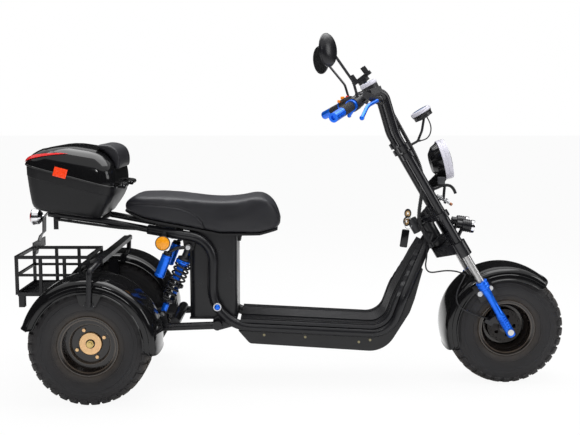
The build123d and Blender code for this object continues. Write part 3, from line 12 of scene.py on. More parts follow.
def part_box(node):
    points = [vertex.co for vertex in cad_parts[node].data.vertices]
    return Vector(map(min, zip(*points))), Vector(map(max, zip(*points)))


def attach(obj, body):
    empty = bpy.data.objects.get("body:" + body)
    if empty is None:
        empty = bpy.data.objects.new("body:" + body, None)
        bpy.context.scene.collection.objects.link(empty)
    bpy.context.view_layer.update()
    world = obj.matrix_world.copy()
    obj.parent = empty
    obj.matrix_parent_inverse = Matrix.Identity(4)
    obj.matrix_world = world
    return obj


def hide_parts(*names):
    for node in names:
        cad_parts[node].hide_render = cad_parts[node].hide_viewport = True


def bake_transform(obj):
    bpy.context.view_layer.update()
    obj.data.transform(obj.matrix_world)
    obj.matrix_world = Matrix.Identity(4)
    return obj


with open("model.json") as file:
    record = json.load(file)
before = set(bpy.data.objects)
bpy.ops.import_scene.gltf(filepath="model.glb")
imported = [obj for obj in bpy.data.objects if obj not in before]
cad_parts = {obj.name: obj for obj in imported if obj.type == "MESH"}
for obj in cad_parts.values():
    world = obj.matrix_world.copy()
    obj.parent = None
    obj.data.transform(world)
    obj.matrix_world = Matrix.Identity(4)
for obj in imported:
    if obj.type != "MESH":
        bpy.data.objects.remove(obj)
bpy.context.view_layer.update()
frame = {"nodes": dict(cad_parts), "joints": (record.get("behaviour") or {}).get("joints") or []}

# ---- Studio ------------------------------------------------------------------------------------
# A pale seamless floor under even white light, three large soft lamps and a small one for highlights,
# and a black screen all round that only reflections show. Nothing here belongs to the tricycle.
camera = bpy.data.objects.new("camera", bpy.data.cameras.new("camera"))
bpy.context.scene.collection.objects.link(camera)
camera.location = (-0.0078, -3.65, 1.111)
camera.rotation_euler = (radians(90 - 7.02), 0, 0)
camera.data.lens = 56.7
bpy.context.scene.camera = camera
bpy.context.scene.view_settings.view_transform = "Standard"

for name, place, target, width, depth, watts, mirrored in (
        ("overhead", (0.1, 0.3, 3.1), (0, 0, 0.4), 3.6, 2.2, 95, True),
        ("camera side", (-1.6, -4.2, 2.2), (0, 0, 0.5), 2.0, 1.6, 62, False),
        ("highlight", (-0.5, -4.0, 2.4), (0, 0, 0.5), 0.5, 0.22, 9, True),
        ("front side", (3.4, -1.2, 1.9), (0.3, 0, 0.5), 1.4, 1.6, 30, True)):
    lamp = bpy.data.objects.new(name, bpy.data.lights.new(name, "AREA"))
    bpy.context.scene.collection.objects.link(lamp)
    lamp.data.shape, lamp.data.size, lamp.data.size_y, lamp.data.energy = "RECTANGLE", width, depth, watts
    lamp.visible_glossy = mirrored
    lamp.location = place
    lamp.rotation_euler = (Vector(target) - Vector(place)).to_track_quat("-Z", "Y").to_euler()


class Value:
    """A number that varies over a surface: one socket, on which sums are written as in Python."""

    def __init__(self, finish, socket):
        self.finish, self.socket = finish, socket

    def maths(self, operation, *terms):
        return self.finish.node("Math", {"operation": operation}, dict(enumerate(terms)))

    def __add__(self, other):
        return self.maths("ADD", self, other)

    def __mul__(self, other):
        return self.maths("MULTIPLY", self, other)

    def __sub__(self, other):
        return self.maths("SUBTRACT", self, other)

    def __rsub__(self, other):
        return self.maths("SUBTRACT", other, self)

    def __gt__(self, other):
        return self.maths("GREATER_THAN", self, other)

    def wave(self, pitch):
        """A sine along the value, from -1 to 1, that repeats at every pitch."""
        return self.maths("SINE", self * (2 * pi / pitch))


class Finish:
    """A finish under construction: a material's Principled shader and the nodes that drive it."""

    def __init__(self, name, colour, roughness, **fixed):
        self.skin = bpy.data.materials.new(name)
        self.skin.use_nodes = True
        self.tree = self.skin.node_tree
        self.shader = self.tree.nodes["Principled BSDF"]
        fixed = {"Base Color": (*colour, 1), "Roughness": roughness,
                 **{key.replace("_", " "): value for key, value in fixed.items()}}
        for socket, value in fixed.items():
            self.shader.inputs[socket].default_value = value

    def node(self, kind, settings=None, sockets=None, out=0):
        made = self.tree.nodes.new("ShaderNode" + kind)
        for key, value in (settings or {}).items():
            setattr(made, key, value)
        for key, value in (sockets or {}).items():
            self.feed(made.inputs[key], value)
        return Value(self, made.outputs[out])

    def feed(self, socket, value):
        if isinstance(socket, str):
            socket = self.shader.inputs[socket]
        if isinstance(value, Value):
            self.tree.links.new(value.socket, socket)
        else:
            socket.default_value = value

    def place(self):
        return self.node("TexCoord", out="Object")

    def noise(self, scale, detail):
        return self.node("TexNoise", None, {"Vector": self.place(), "Scale": scale, "Detail": detail})

    def cells(self, scale):
        """Distance from the middle of the nearest of many irregular cells."""
        return self.node("TexVoronoi", {"feature": "F1"}, {"Vector": self.place(), "Scale": scale},
                         out="Distance")

    def along(self, vector, direction):
        return self.node("VectorMath", {"operation": "DOT_PRODUCT"}, {0: vector, 1: direction}, out="Value")

    def part(self, vector, axis):
        return self.node("SeparateXYZ", None, {"Vector": vector}, out=axis)

    def ramp(self, share, *stops):
        """Grey level that runs through stops of (position, level)."""
        made = self.node("ValToRGB", None, {"Fac": share})
        elements = made.socket.node.color_ramp.elements
        while len(elements) < len(stops):
            elements.new(0.5)
        for stop, (position, level) in zip(elements, stops):
            stop.position, stop.color = position, (level, level, level, 1)
        return made

    def tint(self, share, low, high):
        """Colour between two others."""
        return self.node("Mix", {"data_type": "RGBA"}, {0: share, 6: (*low, 1), 7: (*high, 1)}, out=2)

    def rough_skin(self, height, depth, below=None):
        """Relief of a given depth in metres, on the shader or over another relief."""
        sockets = {"Height": height, "Distance": depth, "Strength": 1.0}
        if below:
            sockets["Normal"] = below
        relief = self.node("Bump", None, sockets)
        self.feed("Normal", relief)
        return relief

    def facing_up(self):
        """1 on what faces the sky, falling to 0 on upright faces."""
        up = self.part(self.node("NewGeometry", out="Normal"), "Z")
        return self.ramp(up, (0.25, 0), (1, 1))


white = (1, 1, 1)
world = bpy.data.worlds.new("studio")
bpy.context.scene.world = world
world.use_nodes = True
sky = world.node_tree
rays = sky.nodes.new("ShaderNodeLightPath")
seen = rays.outputs["Is Camera Ray"]
for more in ("Is Glossy Ray", "Is Transmission Ray"):
    sum_node = sky.nodes.new("ShaderNodeMath")
    sum_node.operation = "MAXIMUM"
    sky.links.new(seen, sum_node.inputs[0])
    sky.links.new(rays.outputs[more], sum_node.inputs[1])
    seen = sum_node.outputs[0]
level = sky.nodes.new("ShaderNodeMapRange")
level.inputs["To Min"].default_value = 0.5
sky.links.new(seen, level.inputs["Value"])
sky.links.new(level.outputs[0], sky.nodes["Background"].inputs["Strength"])
sky.nodes["Background"].inputs["Color"].default_value = (*white, 1)

bpy.ops.object.select_all(action="DESELECT")
bpy.ops.mesh.primitive_plane_add(size=60, location=(0, 0, 0))
floor = bpy.context.active_object
floor.name = "floor"
paper = Finish("studio paper", (0.9, 0.9, 0.9), 0.9)
glow = paper.node("Emission", None, {"Color": (*white, 1), "Strength": 1.0})
view = paper.node("LightPath", out="Is Camera Ray")
lit = paper.node("MixShader", None, {0: view * 0.93, 1: Value(paper, paper.shader.outputs[0]), 2: glow})
paper.feed(paper.tree.nodes["Material Output"].inputs["Surface"], lit)
floor.data.materials.append(paper.skin)

bpy.ops.object.select_all(action="DESELECT")
bpy.ops.mesh.primitive_cylinder_add(vertices=64, radius=6, depth=4, end_fill_type="NOTHING",
                                    location=(0, 0, 2.05))
screen = bpy.context.active_object
screen.name = "dark_screen"
screen.visible_camera = screen.visible_diffuse = False
screen.visible_transmission = screen.visible_shadow = False
screen.data.materials.append(Finish("black velvet", (0.02, 0.02, 0.02), 0.9, Specular_IOR_Level=0.1).skin)

# ---- Cords and sleeves -----------------------------------------------------------------------------
# The wiring loom and the sleeve under the rack are corrugated plastic conduit, the front brake hose
# is smooth rubber, and a thin cable loops under the round display. Each hangs between two fittings.
wheel_low, wheel_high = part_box("rear_tyre_left")
axle_x = (wheel_low.x + wheel_high.x) / 2
head = next(joint for joint in frame["joints"] if joint["name"] == "steering_turn")
head_up = Vector(head["axis"])
head_ahead = Vector((head_up.z, 0, -head_up.x))


def spot(x, y, z):
    """A place given in millimetres ahead of the rear axle, to the left and up."""
    return Vector((axle_x + x / 1000, y / 1000, z / 1000))


def fork_spot(ahead, left, up):
    """A place given in millimetres in the steering's own leaning directions."""
    return Vector(head["pos_m"]) + (head_ahead * ahead + Vector((0, left, 0)) + head_up * up) / 1000


def finished(piece, made, body=None, replaces=(), smooth=35):
    """Gives a piece its finish, its shading and the body that it moves with."""
    piece.data.materials.clear()
    piece.data.materials.append(made.skin)
    for face in piece.data.polygons:
        face.use_smooth = True
    piece.data.set_sharp_from_angle(angle=radians(smooth))
    if replaces:
        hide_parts(*replaces)
    if body:
        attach(piece, body)
    return piece


def skinned(name, rings, both_ends):
    """Skin over a row of rings, closed at both ends or at its last ring only."""
    shape = bmesh.new()
    rows = [[shape.verts.new(place) for place in ring] for ring in rings]
    for near, far in zip(rows, rows[1:]):
        for i in range(len(near)):
            shape.faces.new((near[i - 1], near[i], far[i], far[i - 1]))
    if both_ends:
        shape.faces.new(rows[0])
    shape.faces.new(rows[-1][::-1])
    bmesh.ops.recalc_face_normals(shape, faces=shape.faces)
    mesh = bpy.data.meshes.new(name)
    shape.to_mesh(mesh)
    shape.free()
    piece = bpy.data.objects.new(name, mesh)
    bpy.context.scene.collection.objects.link(piece)
    return piece


def conduit(name, knots, radius, rib=0.0, groove=0.0, sides=18):
    """Tube along the smooth line that a route draws, ribbed all along where a rib's pitch is given."""
    curve = bpy.data.curves.new(name + " route", "CURVE")
    curve.dimensions, curve.resolution_u = "3D", 16
    line = curve.splines.new("NURBS")
    line.points.add(len(knots) - 1)
    for knot, place in zip(line.points, knots):
        knot.co = (*place, 1)
    line.order_u, line.use_endpoint_u = 3, True
    carrier = bpy.data.objects.new(name + " route", curve)
    bare = bpy.data.meshes.new_from_object(carrier)
    drawn_line = np.array([vertex.co for vertex in bare.vertices])
    bpy.data.objects.remove(carrier)
    run = np.concatenate([[0], np.cumsum(np.linalg.norm(np.diff(drawn_line, axis=0), axis=1))])
    count = int(run[-1] / (rib / 4 if rib else 0.003))
    reach = np.linspace(0, run[-1], count)
    line_points = [Vector([np.interp(at, run, drawn_line[:, axis]) for axis in range(3)]) for at in reach]
    side = Vector((0.3, 1, 0.1))
    rings = []
    for i, place in enumerate(line_points):
        ahead = (line_points[min(i + 1, count - 1)] - line_points[max(i - 1, 0)]).normalized()
        side = (side - ahead * side.dot(ahead)).normalized()
        up = ahead.cross(side)
        size = radius - (groove if rib and i % 4 in (2, 3) and 3 < i < count - 4 else 0)
        rings.append([place + (side * cos(turn) + up * sin(turn)) * size
                      for turn in np.linspace(0, 2 * pi, sides, endpoint=False)])
    return skinned(name, rings, both_ends=True), line_points, float(run[-1])


def moulded(name, colour, roughness, grain=900, depth=0.00003, dust=0.08, **fixed):
    """Plastic, rubber or paint: a fine grain, a cloudy gloss and a little pale dust on what faces up."""
    made = Finish(name, colour, roughness, **{"Specular_IOR_Level": 0.38, **fixed})
    cloud = made.noise(13, 5)
    dusty = tuple(0.75 * shade + 0.03 for shade in colour)
    made.feed("Base Color", made.tint((cloud * 1.1 + made.facing_up() * 0.5) * dust, colour, dusty))
    made.feed("Roughness", (cloud - 0.5) * 0.22 + roughness)
    made.rough_skin(made.noise(grain, 3), depth)
    return made


conduit_black = moulded("corrugated conduit", (0.009, 0.009, 0.010), 0.36, grain=600, depth=0.00005,
                        dust=0.06)
hose_black = moulded("brake hose rubber", (0.013, 0.013, 0.015), 0.5, grain=1500)

loom_knots = [fork_spot(*knot) for knot in (
    (93.6, -78, 1013.7), (93, -79, 958), (91.5, -82, 902), (90, -87, 846), (88, -91, 790), (82, -93, 736),
    (66, -91, 688), (42, -87, 648), (14, -82, 612), (-14, -77, 574), (-34, -72, 530), (-34, -72, 450))]
loom, loom_line, loom_length = conduit("wiring_loom_conduit", loom_knots, 0.008, rib=0.0064, groove=0.0015)
finished(loom, conduit_black, replaces=("wiring_loom", "loom_neck"))
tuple(loom_knots[-1])
fork_spot(30, -84, 640)
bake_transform(loom)
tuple(loom_knots[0])

hose_knots = [spot(*knot) for knot in (
    (1286, -70, 540), (1286, -72, 518), (1283, -73, 498), (1281, -72, 479), (1285, -70, 462),
    (1296, -66, 451), (1312, -60, 448), (1332, -50, 449), (1360, -38, 451), (1389, -25, 449),
    (1415, -14, 444), (1428, -13.5, 440), (1439, -20, 436.5), (1445.5, -31, 436), (1445.5, -44, 434.5),
    (1437, -62, 428), (1425, -86, 417), (1411, -108, 402), (1400, -121, 381), (1396, -125, 358),
    (1402, -125, 335), (1418, -124, 316), (1440, -122, 303), (1464, -119, 293), (1487, -112, 284),
    (1508, -100, 276), (1530, -84, 267))]
brake_hose, hose_line, hose_length = conduit("front_brake_hose", hose_knots, 0.003, sides=14)
finished(brake_hose, hose_black, replaces=("brake_hose_neck", "brake_hose_fork"))
spot(1290, -66, 455)
spot(1415, -14, 444)
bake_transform(brake_hose)

sleeve_knots = [spot(*knot) for knot in (
    (-160, -113.8, 667.6), (-118, -113.2, 661.5), (-66, -111.9, 653.8), (-14, -112.5, 647),
    (38, -115, 640.2), (90, -119.5, 634.4), (138, -122.8, 632), (176, -123.5, 631))]
sleeve, sleeve_line, sleeve_length = conduit("rack_wiring_sleeve", sleeve_knots, 0.006, rib=0.0056,
                                             groove=0.0012)
finished(sleeve, conduit_black, "frame", replaces=("rack_sleeve",))

cable_knots = [spot(*knot) for knot in (
    (1285.7, 10, 1067.8), (1297, 10.5, 1049), (1305, 11.5, 1029), (1306, 12, 1007), (1298, 11.5, 986),
    (1282, 10, 973), (1264, 6, 970))]
display_cable, cable_line, cable_length = conduit("display_cable", cable_knots, 0.0025, sides=12)
finished(display_cable, hose_black, "steering", replaces=("dial_cable",))

# ---- Frame, rack, swing arm and basket ---------------------------------------------------------------
# Bent steel tube, flat bar and wire, welded and powder coated in one satin black; the clamps, risers
# and the bar are black anodised alloy.
def dress(made, *nodes):
    """Gives the machine's own parts a finish."""
    for node in nodes:
        for place in frame["nodes"][node].material_slots:
            place.material = made.skin


powder_coat = moulded("powder coat", (0.0055, 0.0055, 0.007), 0.3, grain=420, depth=0.00006, dust=0.06,
                      Specular_IOR_Level=0.4)
dress(powder_coat, "main_frame", "steering_neck", "rear_rack", "swing_arm", "basket", "fender_hoop",
      "plate_bracket", "battery_box")
dress(moulded("battery case", (0.012, 0.012, 0.014), 0.5), "battery")

anodised_black = moulded("black anodised alloy", (0.006, 0.006, 0.008), 0.26, grain=1400, depth=0.00002,
                         dust=0.05, Specular_IOR_Level=0.5)
dress(anodised_black, "lower_clamp", "upper_yoke", "fork_risers", "upper_clamp", "handlebar",
      "brake_caliper")

# ---- Wheels ----------------------------------------------------------------------------------------
# Low-pressure tubeless tyres moulded in black rubber, with staggered blocks round the crown and long
# ones wrapped over each shoulder, on deep pressed steel rims painted black.
def begin(add, name, **placing):
    """Adds one primitive, with nothing else selected, and opens it."""
    bpy.ops.object.select_all(action="DESELECT")
    add(**placing)
    piece = bpy.context.active_object
    piece.name = name
    bpy.ops.object.mode_set(mode="EDIT")
    return piece


def weld(gap):
    """Joins the corners that lie together in the open piece, and turns its faces outward."""
    bpy.ops.mesh.select_all(action="SELECT")
    bpy.ops.mesh.remove_doubles(threshold=gap)
    bpy.ops.mesh.normals_make_consistent(inside=False)


def spun(steps, axis, angle=2 * pi, gap=0.00002):
    """Turns the open line about an axis through the origin into a skin."""
    bpy.ops.mesh.select_all(action="SELECT")
    bpy.ops.mesh.spin(steps=steps, angle=angle, center=(0, 0, 0), axis=axis)
    weld(gap)


def modified(piece, kind, **settings):
    """Applies one modifier to the active piece."""
    change = piece.modifiers.new(kind, kind)
    for key, value in settings.items():
        setattr(change, key, value)
    bpy.ops.object.modifier_apply(modifier=change.name)
    return piece


def hub_of(node):
    """Middle of a part of the machine."""
    low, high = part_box(node)
    return (low + high) / 2


def pick(test, kind="FACE"):
    """Selects what passes a test of its middle, in the open piece."""
    bpy.ops.mesh.select_mode(type=kind)
    bpy.ops.mesh.select_all(action="DESELECT")
    shape = bmesh.from_edit_mesh(bpy.context.active_object.data)
    for part in shape.faces if kind == "FACE" else shape.edges:
        middle = sum((vertex.co for vertex in part.verts), Vector()) / len(part.verts)
        part.select_set(bool(test(middle)))
    bmesh.update_edit_mesh(bpy.context.active_object.data)


def drawn(name, points):
    """Opens a new piece that is one line, extruded from point to point."""
    piece = begin(bpy.ops.mesh.primitive_plane_add, name, size=0.01, location=(0, 0, 0))
    bpy.ops.mesh.select_mode(type="VERT")
    bpy.ops.mesh.select_all(action="SELECT")
    bpy.ops.mesh.merge(type="CENTER")
    bpy.ops.transform.translate(value=points[0])
    for near, far in zip(points, points[1:]):
        bpy.ops.mesh.extrude_region_move(TRANSFORM_OT_translate={"value": Vector(far) - Vector(near)})
    return piece


def closed(piece, bevel=0.0, segments=2, angle=40):
    """Leaves edit mode with the piece's place in its mesh, and softens its edges."""
    bpy.ops.object.mode_set(mode="OBJECT")
    piece.data.transform(piece.matrix_world)
    piece.matrix_world = Matrix()
    if bevel:
        modified(piece, "BEVEL", width=bevel, segments=segments, limit_method="ANGLE",
                 angle_limit=radians(angle))
    return piece


def copied(piece, name, change):
    """A copy with its own mesh, moved by a matrix; a mirrored one is turned right side out."""
    twin = piece.copy()
    twin.data = piece.data.copy()
    twin.name, twin.parent = name, None
    bpy.context.scene.collection.objects.link(twin)
    twin.data.transform(change)
    if change.determinant() < 0:
        twin.data.flip_normals()
    return twin


wall = [(0.1035, 0.080), (0.118, 0.092), (0.140, 0.1035), (0.165, 0.1075), (0.186, 0.1045), (0.200, 0.100),
        (0.2115, 0.092), (0.2175, 0.081), (0.2195, 0.073), (0.2203, 0.066), (0.221, 0.028), (0.221, 0.019)]
outline = ([(0, width, reach) for reach, width in wall]
           + [(0, -width, reach) for reach, width in reversed(wall)])
BLOCKS = 34
tread = drawn("front_knobby_tyre", outline)
bpy.ops.mesh.select_all(action="SELECT")
bpy.ops.mesh.edge_face_add()
bpy.ops.mesh.delete(type="ONLY_FACE")
spun(3 * BLOCKS, (0, 1, 0))


def step_at(middle):
    return int((math.atan2(middle.x, middle.z) / (2 * pi) % 1) * 3 * BLOCKS)


for low, high, shift, rise in ((-0.019, 0.019, 0, 0.0075), (0.028, 0.066, 1, 0.0075),
                               (-0.066, -0.028, 2, 0.0075), (0.073, 0.1, 0, 0.0068),
                               (-0.1, -0.073, 0, 0.0068)):
    pick(lambda m: low < m.y < high and math.hypot(m.x, m.z) > (0.196 if step_at(m) // 3 % 2 else 0.204)
         and (step_at(m) + shift) % 3 < 2)
    bpy.ops.mesh.extrude_region_shrink_fatten(TRANSFORM_OT_shrink_fatten={"value": rise})
tread = closed(tread, bevel=0.0016, segments=2, angle=38)
slant = np.array([vertex.co for vertex in tread.data.vertices])
lean = np.clip(np.abs(slant[:, 1]) - 0.02, 0, 0.06) * 0.55 / 0.06 * (2 * pi / BLOCKS)
slant[:, 0], slant[:, 2] = (slant[:, 0] * np.cos(lean) + slant[:, 2] * np.sin(lean),
                            slant[:, 2] * np.cos(lean) - slant[:, 0] * np.sin(lean))
tread.data.vertices.foreach_set("co", slant.ravel())


def hub_reach(made, hub):
    """Distance from a wheel's axle."""
    spoke = made.node("Mapping", None, {"Vector": made.place(), "Location": (-hub.x, 0, -hub.z),
                                        "Scale": (1, 0, 1)})
    return made.node("VectorMath", {"operation": "LENGTH"}, {0: spoke}, out="Value")


def tyre_rubber(name, hub):
    """Dull rubber, browned by dust next to the rim and on the blocks, with moulded rings on its wall."""
    made = Finish(name, (0.017, 0.017, 0.019), 0.6, Specular_IOR_Level=0.38)
    share = hub_reach(made, hub) * (1 / 0.2285)
    cloud = made.noise(22, 6)
    dusty = made.ramp(share, (0.46, 0.75), (0.60, 0.12), (0.72, 0.04), (0.93, 0.1), (1.0, 0.7))
    made.feed("Base Color", made.tint(dusty * cloud * 1.3, (0.011, 0.011, 0.013), (0.085, 0.068, 0.052)))
    made.feed("Roughness", cloud * 0.3 + 0.42)
    rings = made.ramp(share, (0.585, 0), (0.59, 1), (0.605, 1), (0.61, 0), (0.735, 0), (0.74, 0.8),
                      (0.75, 0.8), (0.755, 0), (0.80, 0), (0.805, 0.6), (0.815, 0.6), (0.82, 0))
    ridge = made.rough_skin(rings, 0.0012)
    made.rough_skin(made.noise(700, 3), 0.00012, below=ridge)
    return made


for node, body, turn in (("front_tyre", "front_wheel", 0.0), ("rear_tyre_left", "rear_wheel_left", 0.06),
                         ("rear_tyre_right", "rear_wheel_right", 0.11)):
    hub = hub_of(node)
    skin = tyre_rubber(node + " rubber", hub)
    knobby = copied(tread, node.replace("tyre", "knobby_tyre"),
                    Matrix.Translation(hub) @ Matrix.Rotation(turn, 4, "Y"))
    finished(knobby, skin, body, replaces=(node,), smooth=40)
bpy.data.objects.remove(tread)

for name, nodes in (("front", ("front_rim",)), ("rear", ("rear_rim_left", "rear_rim_right"))):
    hub = hub_of(nodes[0])
    rim_paint = Finish(name + " rim paint", (0.01, 0.009, 0.009), 0.2, Specular_IOR_Level=0.55)
    reach = hub_reach(rim_paint, hub)
    # Thin pale brown rings at the flange edges. They are partly wear on the edges and partly a painted
    # highlight along each flange.
    wear_and_highlight_rings = rim_paint.ramp(reach * (0.5 / 0.114), (0.0, 0.1), (0.30, 0.05), (0.335, 0.7), (0.35, 0.05),
                          (0.425, 0.1), (0.44, 0.9), (0.455, 0.1), (0.48, 0.3), (0.5, 1.0))
    cloud = rim_paint.noise(30, 6)
    rim_paint.feed("Base Color",
                   rim_paint.tint(wear_and_highlight_rings * (cloud * 0.6 + 0.2), (0.006, 0.005, 0.005), (0.14, 0.11, 0.085)))
    rim_paint.feed("Roughness", cloud * 0.2 + 0.06)
    rim_paint.rough_skin(rim_paint.noise(300, 3), 0.00006)
    dress(rim_paint, *nodes)

zinc = Finish("yellow zinc", (0.55, 0.47, 0.33), 0.32, Metallic=1.0)
zinc.feed("Base Color", zinc.tint(zinc.noise(26, 3), (0.86, 0.50, 0.27), (0.74, 0.54, 0.28)))
zinc.feed("Roughness", zinc.noise(90, 3) * 0.3 + 0.2)
dress(zinc, "hub_cap_left", "hub_cap_right")

# The disc's steel is painted near black. This is painted shade standing in for the dark inside of the rim.
shade_dark_disc_steel = Finish("brake disc steel with painted shade", (0.035, 0.033, 0.032), 0.38, Metallic=1.0)
shade_dark_disc_steel.feed("Roughness", shade_dark_disc_steel.noise(200, 4) * 0.3 + 0.22)
dress(shade_dark_disc_steel, "front_rotor")

turned_steel = Finish("turned steel", (0.6, 0.6, 0.6), 0.25, Metallic=1.0)
turned_steel.feed("Roughness", turned_steel.noise(140, 4) * 0.25 + 0.12)
turned_steel.rough_skin(turned_steel.noise(1100, 2), 0.00002)
dress(turned_steel, "front_axle")

cast_alloy = Finish("cast motor housing", (0.32, 0.32, 0.33), 0.5, Metallic=1.0)
cast_alloy.feed("Base Color",
                cast_alloy.tint(cast_alloy.noise(18, 5), (0.33, 0.33, 0.34), (0.14, 0.13, 0.12)))
cast_alloy.feed("Roughness", cast_alloy.noise(40, 4) * 0.35 + 0.3)
cast_alloy.rough_skin(cast_alloy.noise(500, 3), 0.0002)
dress(cast_alloy, "rear_axle")


# ---- Fenders ---------------------------------------------------------------------------------------
# Three arches moulded in glossy black plastic, with a rolled bead on each skirt and a step below the
# shoulder. The front one is bolted between the fork legs; the rear ones stand on the swing arm and
# have a tab each on the hoop.
gloss_black = moulded("gloss black moulding", (0.0045, 0.0045, 0.005), 0.1, grain=60, depth=0.00004,
                      dust=0.04)
gloss_black.feed("Roughness", gloss_black.noise(9, 4) * 0.1 + 0.05)


def arch(name, half, crown, low_left, low_right, start, end):
    """Arched shell about an axle at the origin, from one elevation to another, in millimetres and degrees."""
    def flank(low):
        bead = [(half - 1, low - 2), (half + 1.5, low - 4), (half + 4.5, low - 2.5), (half + 5, low + 1),
                (half + 3, low + 3.5), (half + 0.5, low + 4.5)]
        wall = [(half, crown - 44), (half, crown - 34), (half - 0.6, crown - 31.5),
                (half - 3, crown - 30), (half - 3.6, crown - 27), (half - 5, crown - 21),
                (half - 10, crown - 13.5), (half * 0.83, crown - 8.5), (half * 0.7, crown - 4.8),
                (half * 0.52, crown - 2.3), (half * 0.3, crown - 0.7)]
        return bead + [point for point in wall if point[1] > low + 7]

    line = [(0, y / 1000, r / 1000) for y, r in flank(low_left)] + [(0, 0, crown / 1000)] + [
        (0, -y / 1000, r / 1000) for y, r in reversed(flank(low_right))]
    shell = drawn(name, line)
    spun(80, (0, 1, 0), radians(end - start), 0.00005)
    bpy.ops.object.mode_set(mode="OBJECT")
    corner, mean_reach = 0.024, 0.24
    for vertex in shell.data.vertices:
        x, y, z = vertex.co
        reach, climb = math.hypot(x, z), math.atan2(-x, z)
        ahead = min(climb, radians(end - start) - climb) * mean_reach
        low = (low_left if y > 0 else low_right) / 1000 - 0.004
        top = crown / 1000 - 0.02
        lift = corner * (1 - math.sqrt(max(0, 1 - (1 - ahead / corner) ** 2))) if ahead < corner else 0
        fresh = reach + lift * max(0, top - reach) / (top - low) + 0.003 * max(0, 1 - ahead / 0.006)
        vertex.co = (x * fresh / reach, y, z * fresh / reach)
    shell.data.transform(Matrix.Rotation(radians(90 - start), 4, "Y"))
    return modified(shell, "SOLIDIFY", thickness=0.0022, offset=-1)


def aimed(place, direction):
    """Stands something upright in a new direction, on a new place."""
    return Matrix.Translation(place) @ Vector(direction).to_track_quat("Z", "Y").to_matrix().to_4x4()


def fitted(piece, place, made, body, **how):
    """Moves a piece from where it was made to its place, and finishes it."""
    piece.data.transform(place)
    return finished(piece, made, body, **how)


def bolt(name, place, direction, radius, height, washer=1.5):
    """Domed socket-head bolt on its washer, standing on a face that looks in a given direction."""
    piece = begin(bpy.ops.mesh.primitive_cylinder_add, name, vertices=24, radius=radius * washer,
                  depth=0.0012, location=(0, 0, 0.0006))
    pick(lambda m: m.z > 0.0011)
    bpy.ops.mesh.inset(thickness=radius * (washer - 1))
    bpy.ops.mesh.extrude_region_move(TRANSFORM_OT_translate={"value": (0, 0, height)})
    bpy.ops.mesh.bevel(offset=height * 0.45, segments=3, affect="EDGES")
    pick(lambda m: m.z > height + 0.001)
    bpy.ops.mesh.inset(thickness=radius * 0.3)
    bpy.ops.mesh.extrude_region_move(TRANSFORM_OT_translate={"value": (0, 0, -height * 0.6)})
    piece = closed(piece)
    piece.data.transform(aimed(place, direction))
    return piece


front_hub = hub_of("front_rim")
front_arch = arch("front_fender_shell", 114.5, 251, 200, 200, 50, 201)
fitted(front_arch, Matrix.Translation(front_hub), gloss_black, "steering", replaces=("front_fender",))

fork_base = Matrix.Translation(head["pos_m"]) @ Matrix((head_ahead, (0, 1, 0),
                                                        head_up)).transposed().to_4x4()
bolt_steel = Finish("bolt steel", (0.62, 0.63, 0.65), 0.28, Metallic=1.0)
bolt_steel.feed("Roughness", bolt_steel.noise(400, 2) * 0.25 + 0.15)
bolt_steel.rough_skin(bolt_steel.noise(2500, 2), 0.00001)
for side in (-1, 1):
    side_name = "left" if side > 0 else "right"
    plate = begin(bpy.ops.mesh.primitive_cube_add, f"fender_plate_{side_name}", size=1,
                  location=(0.058, side * 0.1185, 0.186), scale=(0.076, 0.006, 0.072))
    bpy.ops.mesh.select_mode(type="EDGE")
    pick(lambda m: abs(abs(m.x - 0.058) - 0.038) < 0.001 and abs(abs(m.z - 0.186) - 0.036) < 0.001, "EDGE")
    bpy.ops.mesh.bevel(offset=0.014, segments=5, affect="EDGES")
    plate = closed(plate, bevel=0.001)
    fitted(plate, fork_base, powder_coat, "steering")
    for ahead in (0.034, 0.081):
        knob = bolt(f"fender_bolt_{side_name}_{int(ahead * 1000)}", (ahead, side * 0.1215, 0.183),
                    (0, side, 0), radius=0.0075, height=0.009, washer=1.35)
        fitted(knob, fork_base, bolt_steel, "steering")

rear_arch = arch("rear_fender_shell_left", 114.5, 259, 206, 225, -7, 164)
FENDER_MIDDLE = 0.285
tab = drawn("rear_fender_tab", [(-0.034, 0.1155, 0.212), (-0.022, 0.1155, 0.164), (-0.012, 0.1155, 0.157),
                                (0.028, 0.1155, 0.151), (0.038, 0.1155, 0.157), (0.066, 0.1155, 0.208)])
bpy.ops.mesh.select_all(action="SELECT")
bpy.ops.mesh.edge_face_add()
bpy.ops.mesh.extrude_region_move(TRANSFORM_OT_translate={"value": (0, 0.003, 0)})
bpy.ops.mesh.select_all(action="SELECT")
bpy.ops.mesh.normals_make_consistent(inside=False)
tab = closed(tab, bevel=0.0008)
for side, side_name in ((1, "left"), (-1, "right")):
    hub = hub_of(f"rear_rim_{side_name}")
    hub.y = side * FENDER_MIDDLE
    stand = Matrix.Translation(hub) @ Matrix.Scale(side, 4, (0, 1, 0))
    shell = copied(rear_arch, f"rear_fender_cover_{side_name}", stand)
    finished(shell, gloss_black, "frame", replaces=("rear_fenders",))
    finished(copied(tab, f"rear_fender_tab_{side_name}", stand), gloss_black, "frame")
    for ahead, up in ((0.004, 0.160), (0.024, 0.158)):
        knob = bolt(f"hoop_bolt_{side_name}_{int(ahead * 1000)}", hub + Vector((ahead, side * 0.1185, up)),
                    (0, side, 0), radius=0.005, height=0.004)
        finished(knob, bolt_steel, "frame")
bpy.data.objects.remove(rear_arch)
bpy.data.objects.remove(tab)

# ---- Hub nuts ----------------------------------------------------------------------------------------
# A brass nut on a black washer closes the cap of each rear hub and turns with its wheel. Its seat is a
# little inside the end of the stud.
def turned(name, line, steps):
    """A closed shape turned about the upright axis, from (radius, height) in millimetres."""
    piece = drawn(name, [(radius / 1000, 0, height / 1000) for radius, height in line])
    spun(steps, (0, 0, 1))
    bpy.ops.object.mode_set(mode="OBJECT")
    return piece


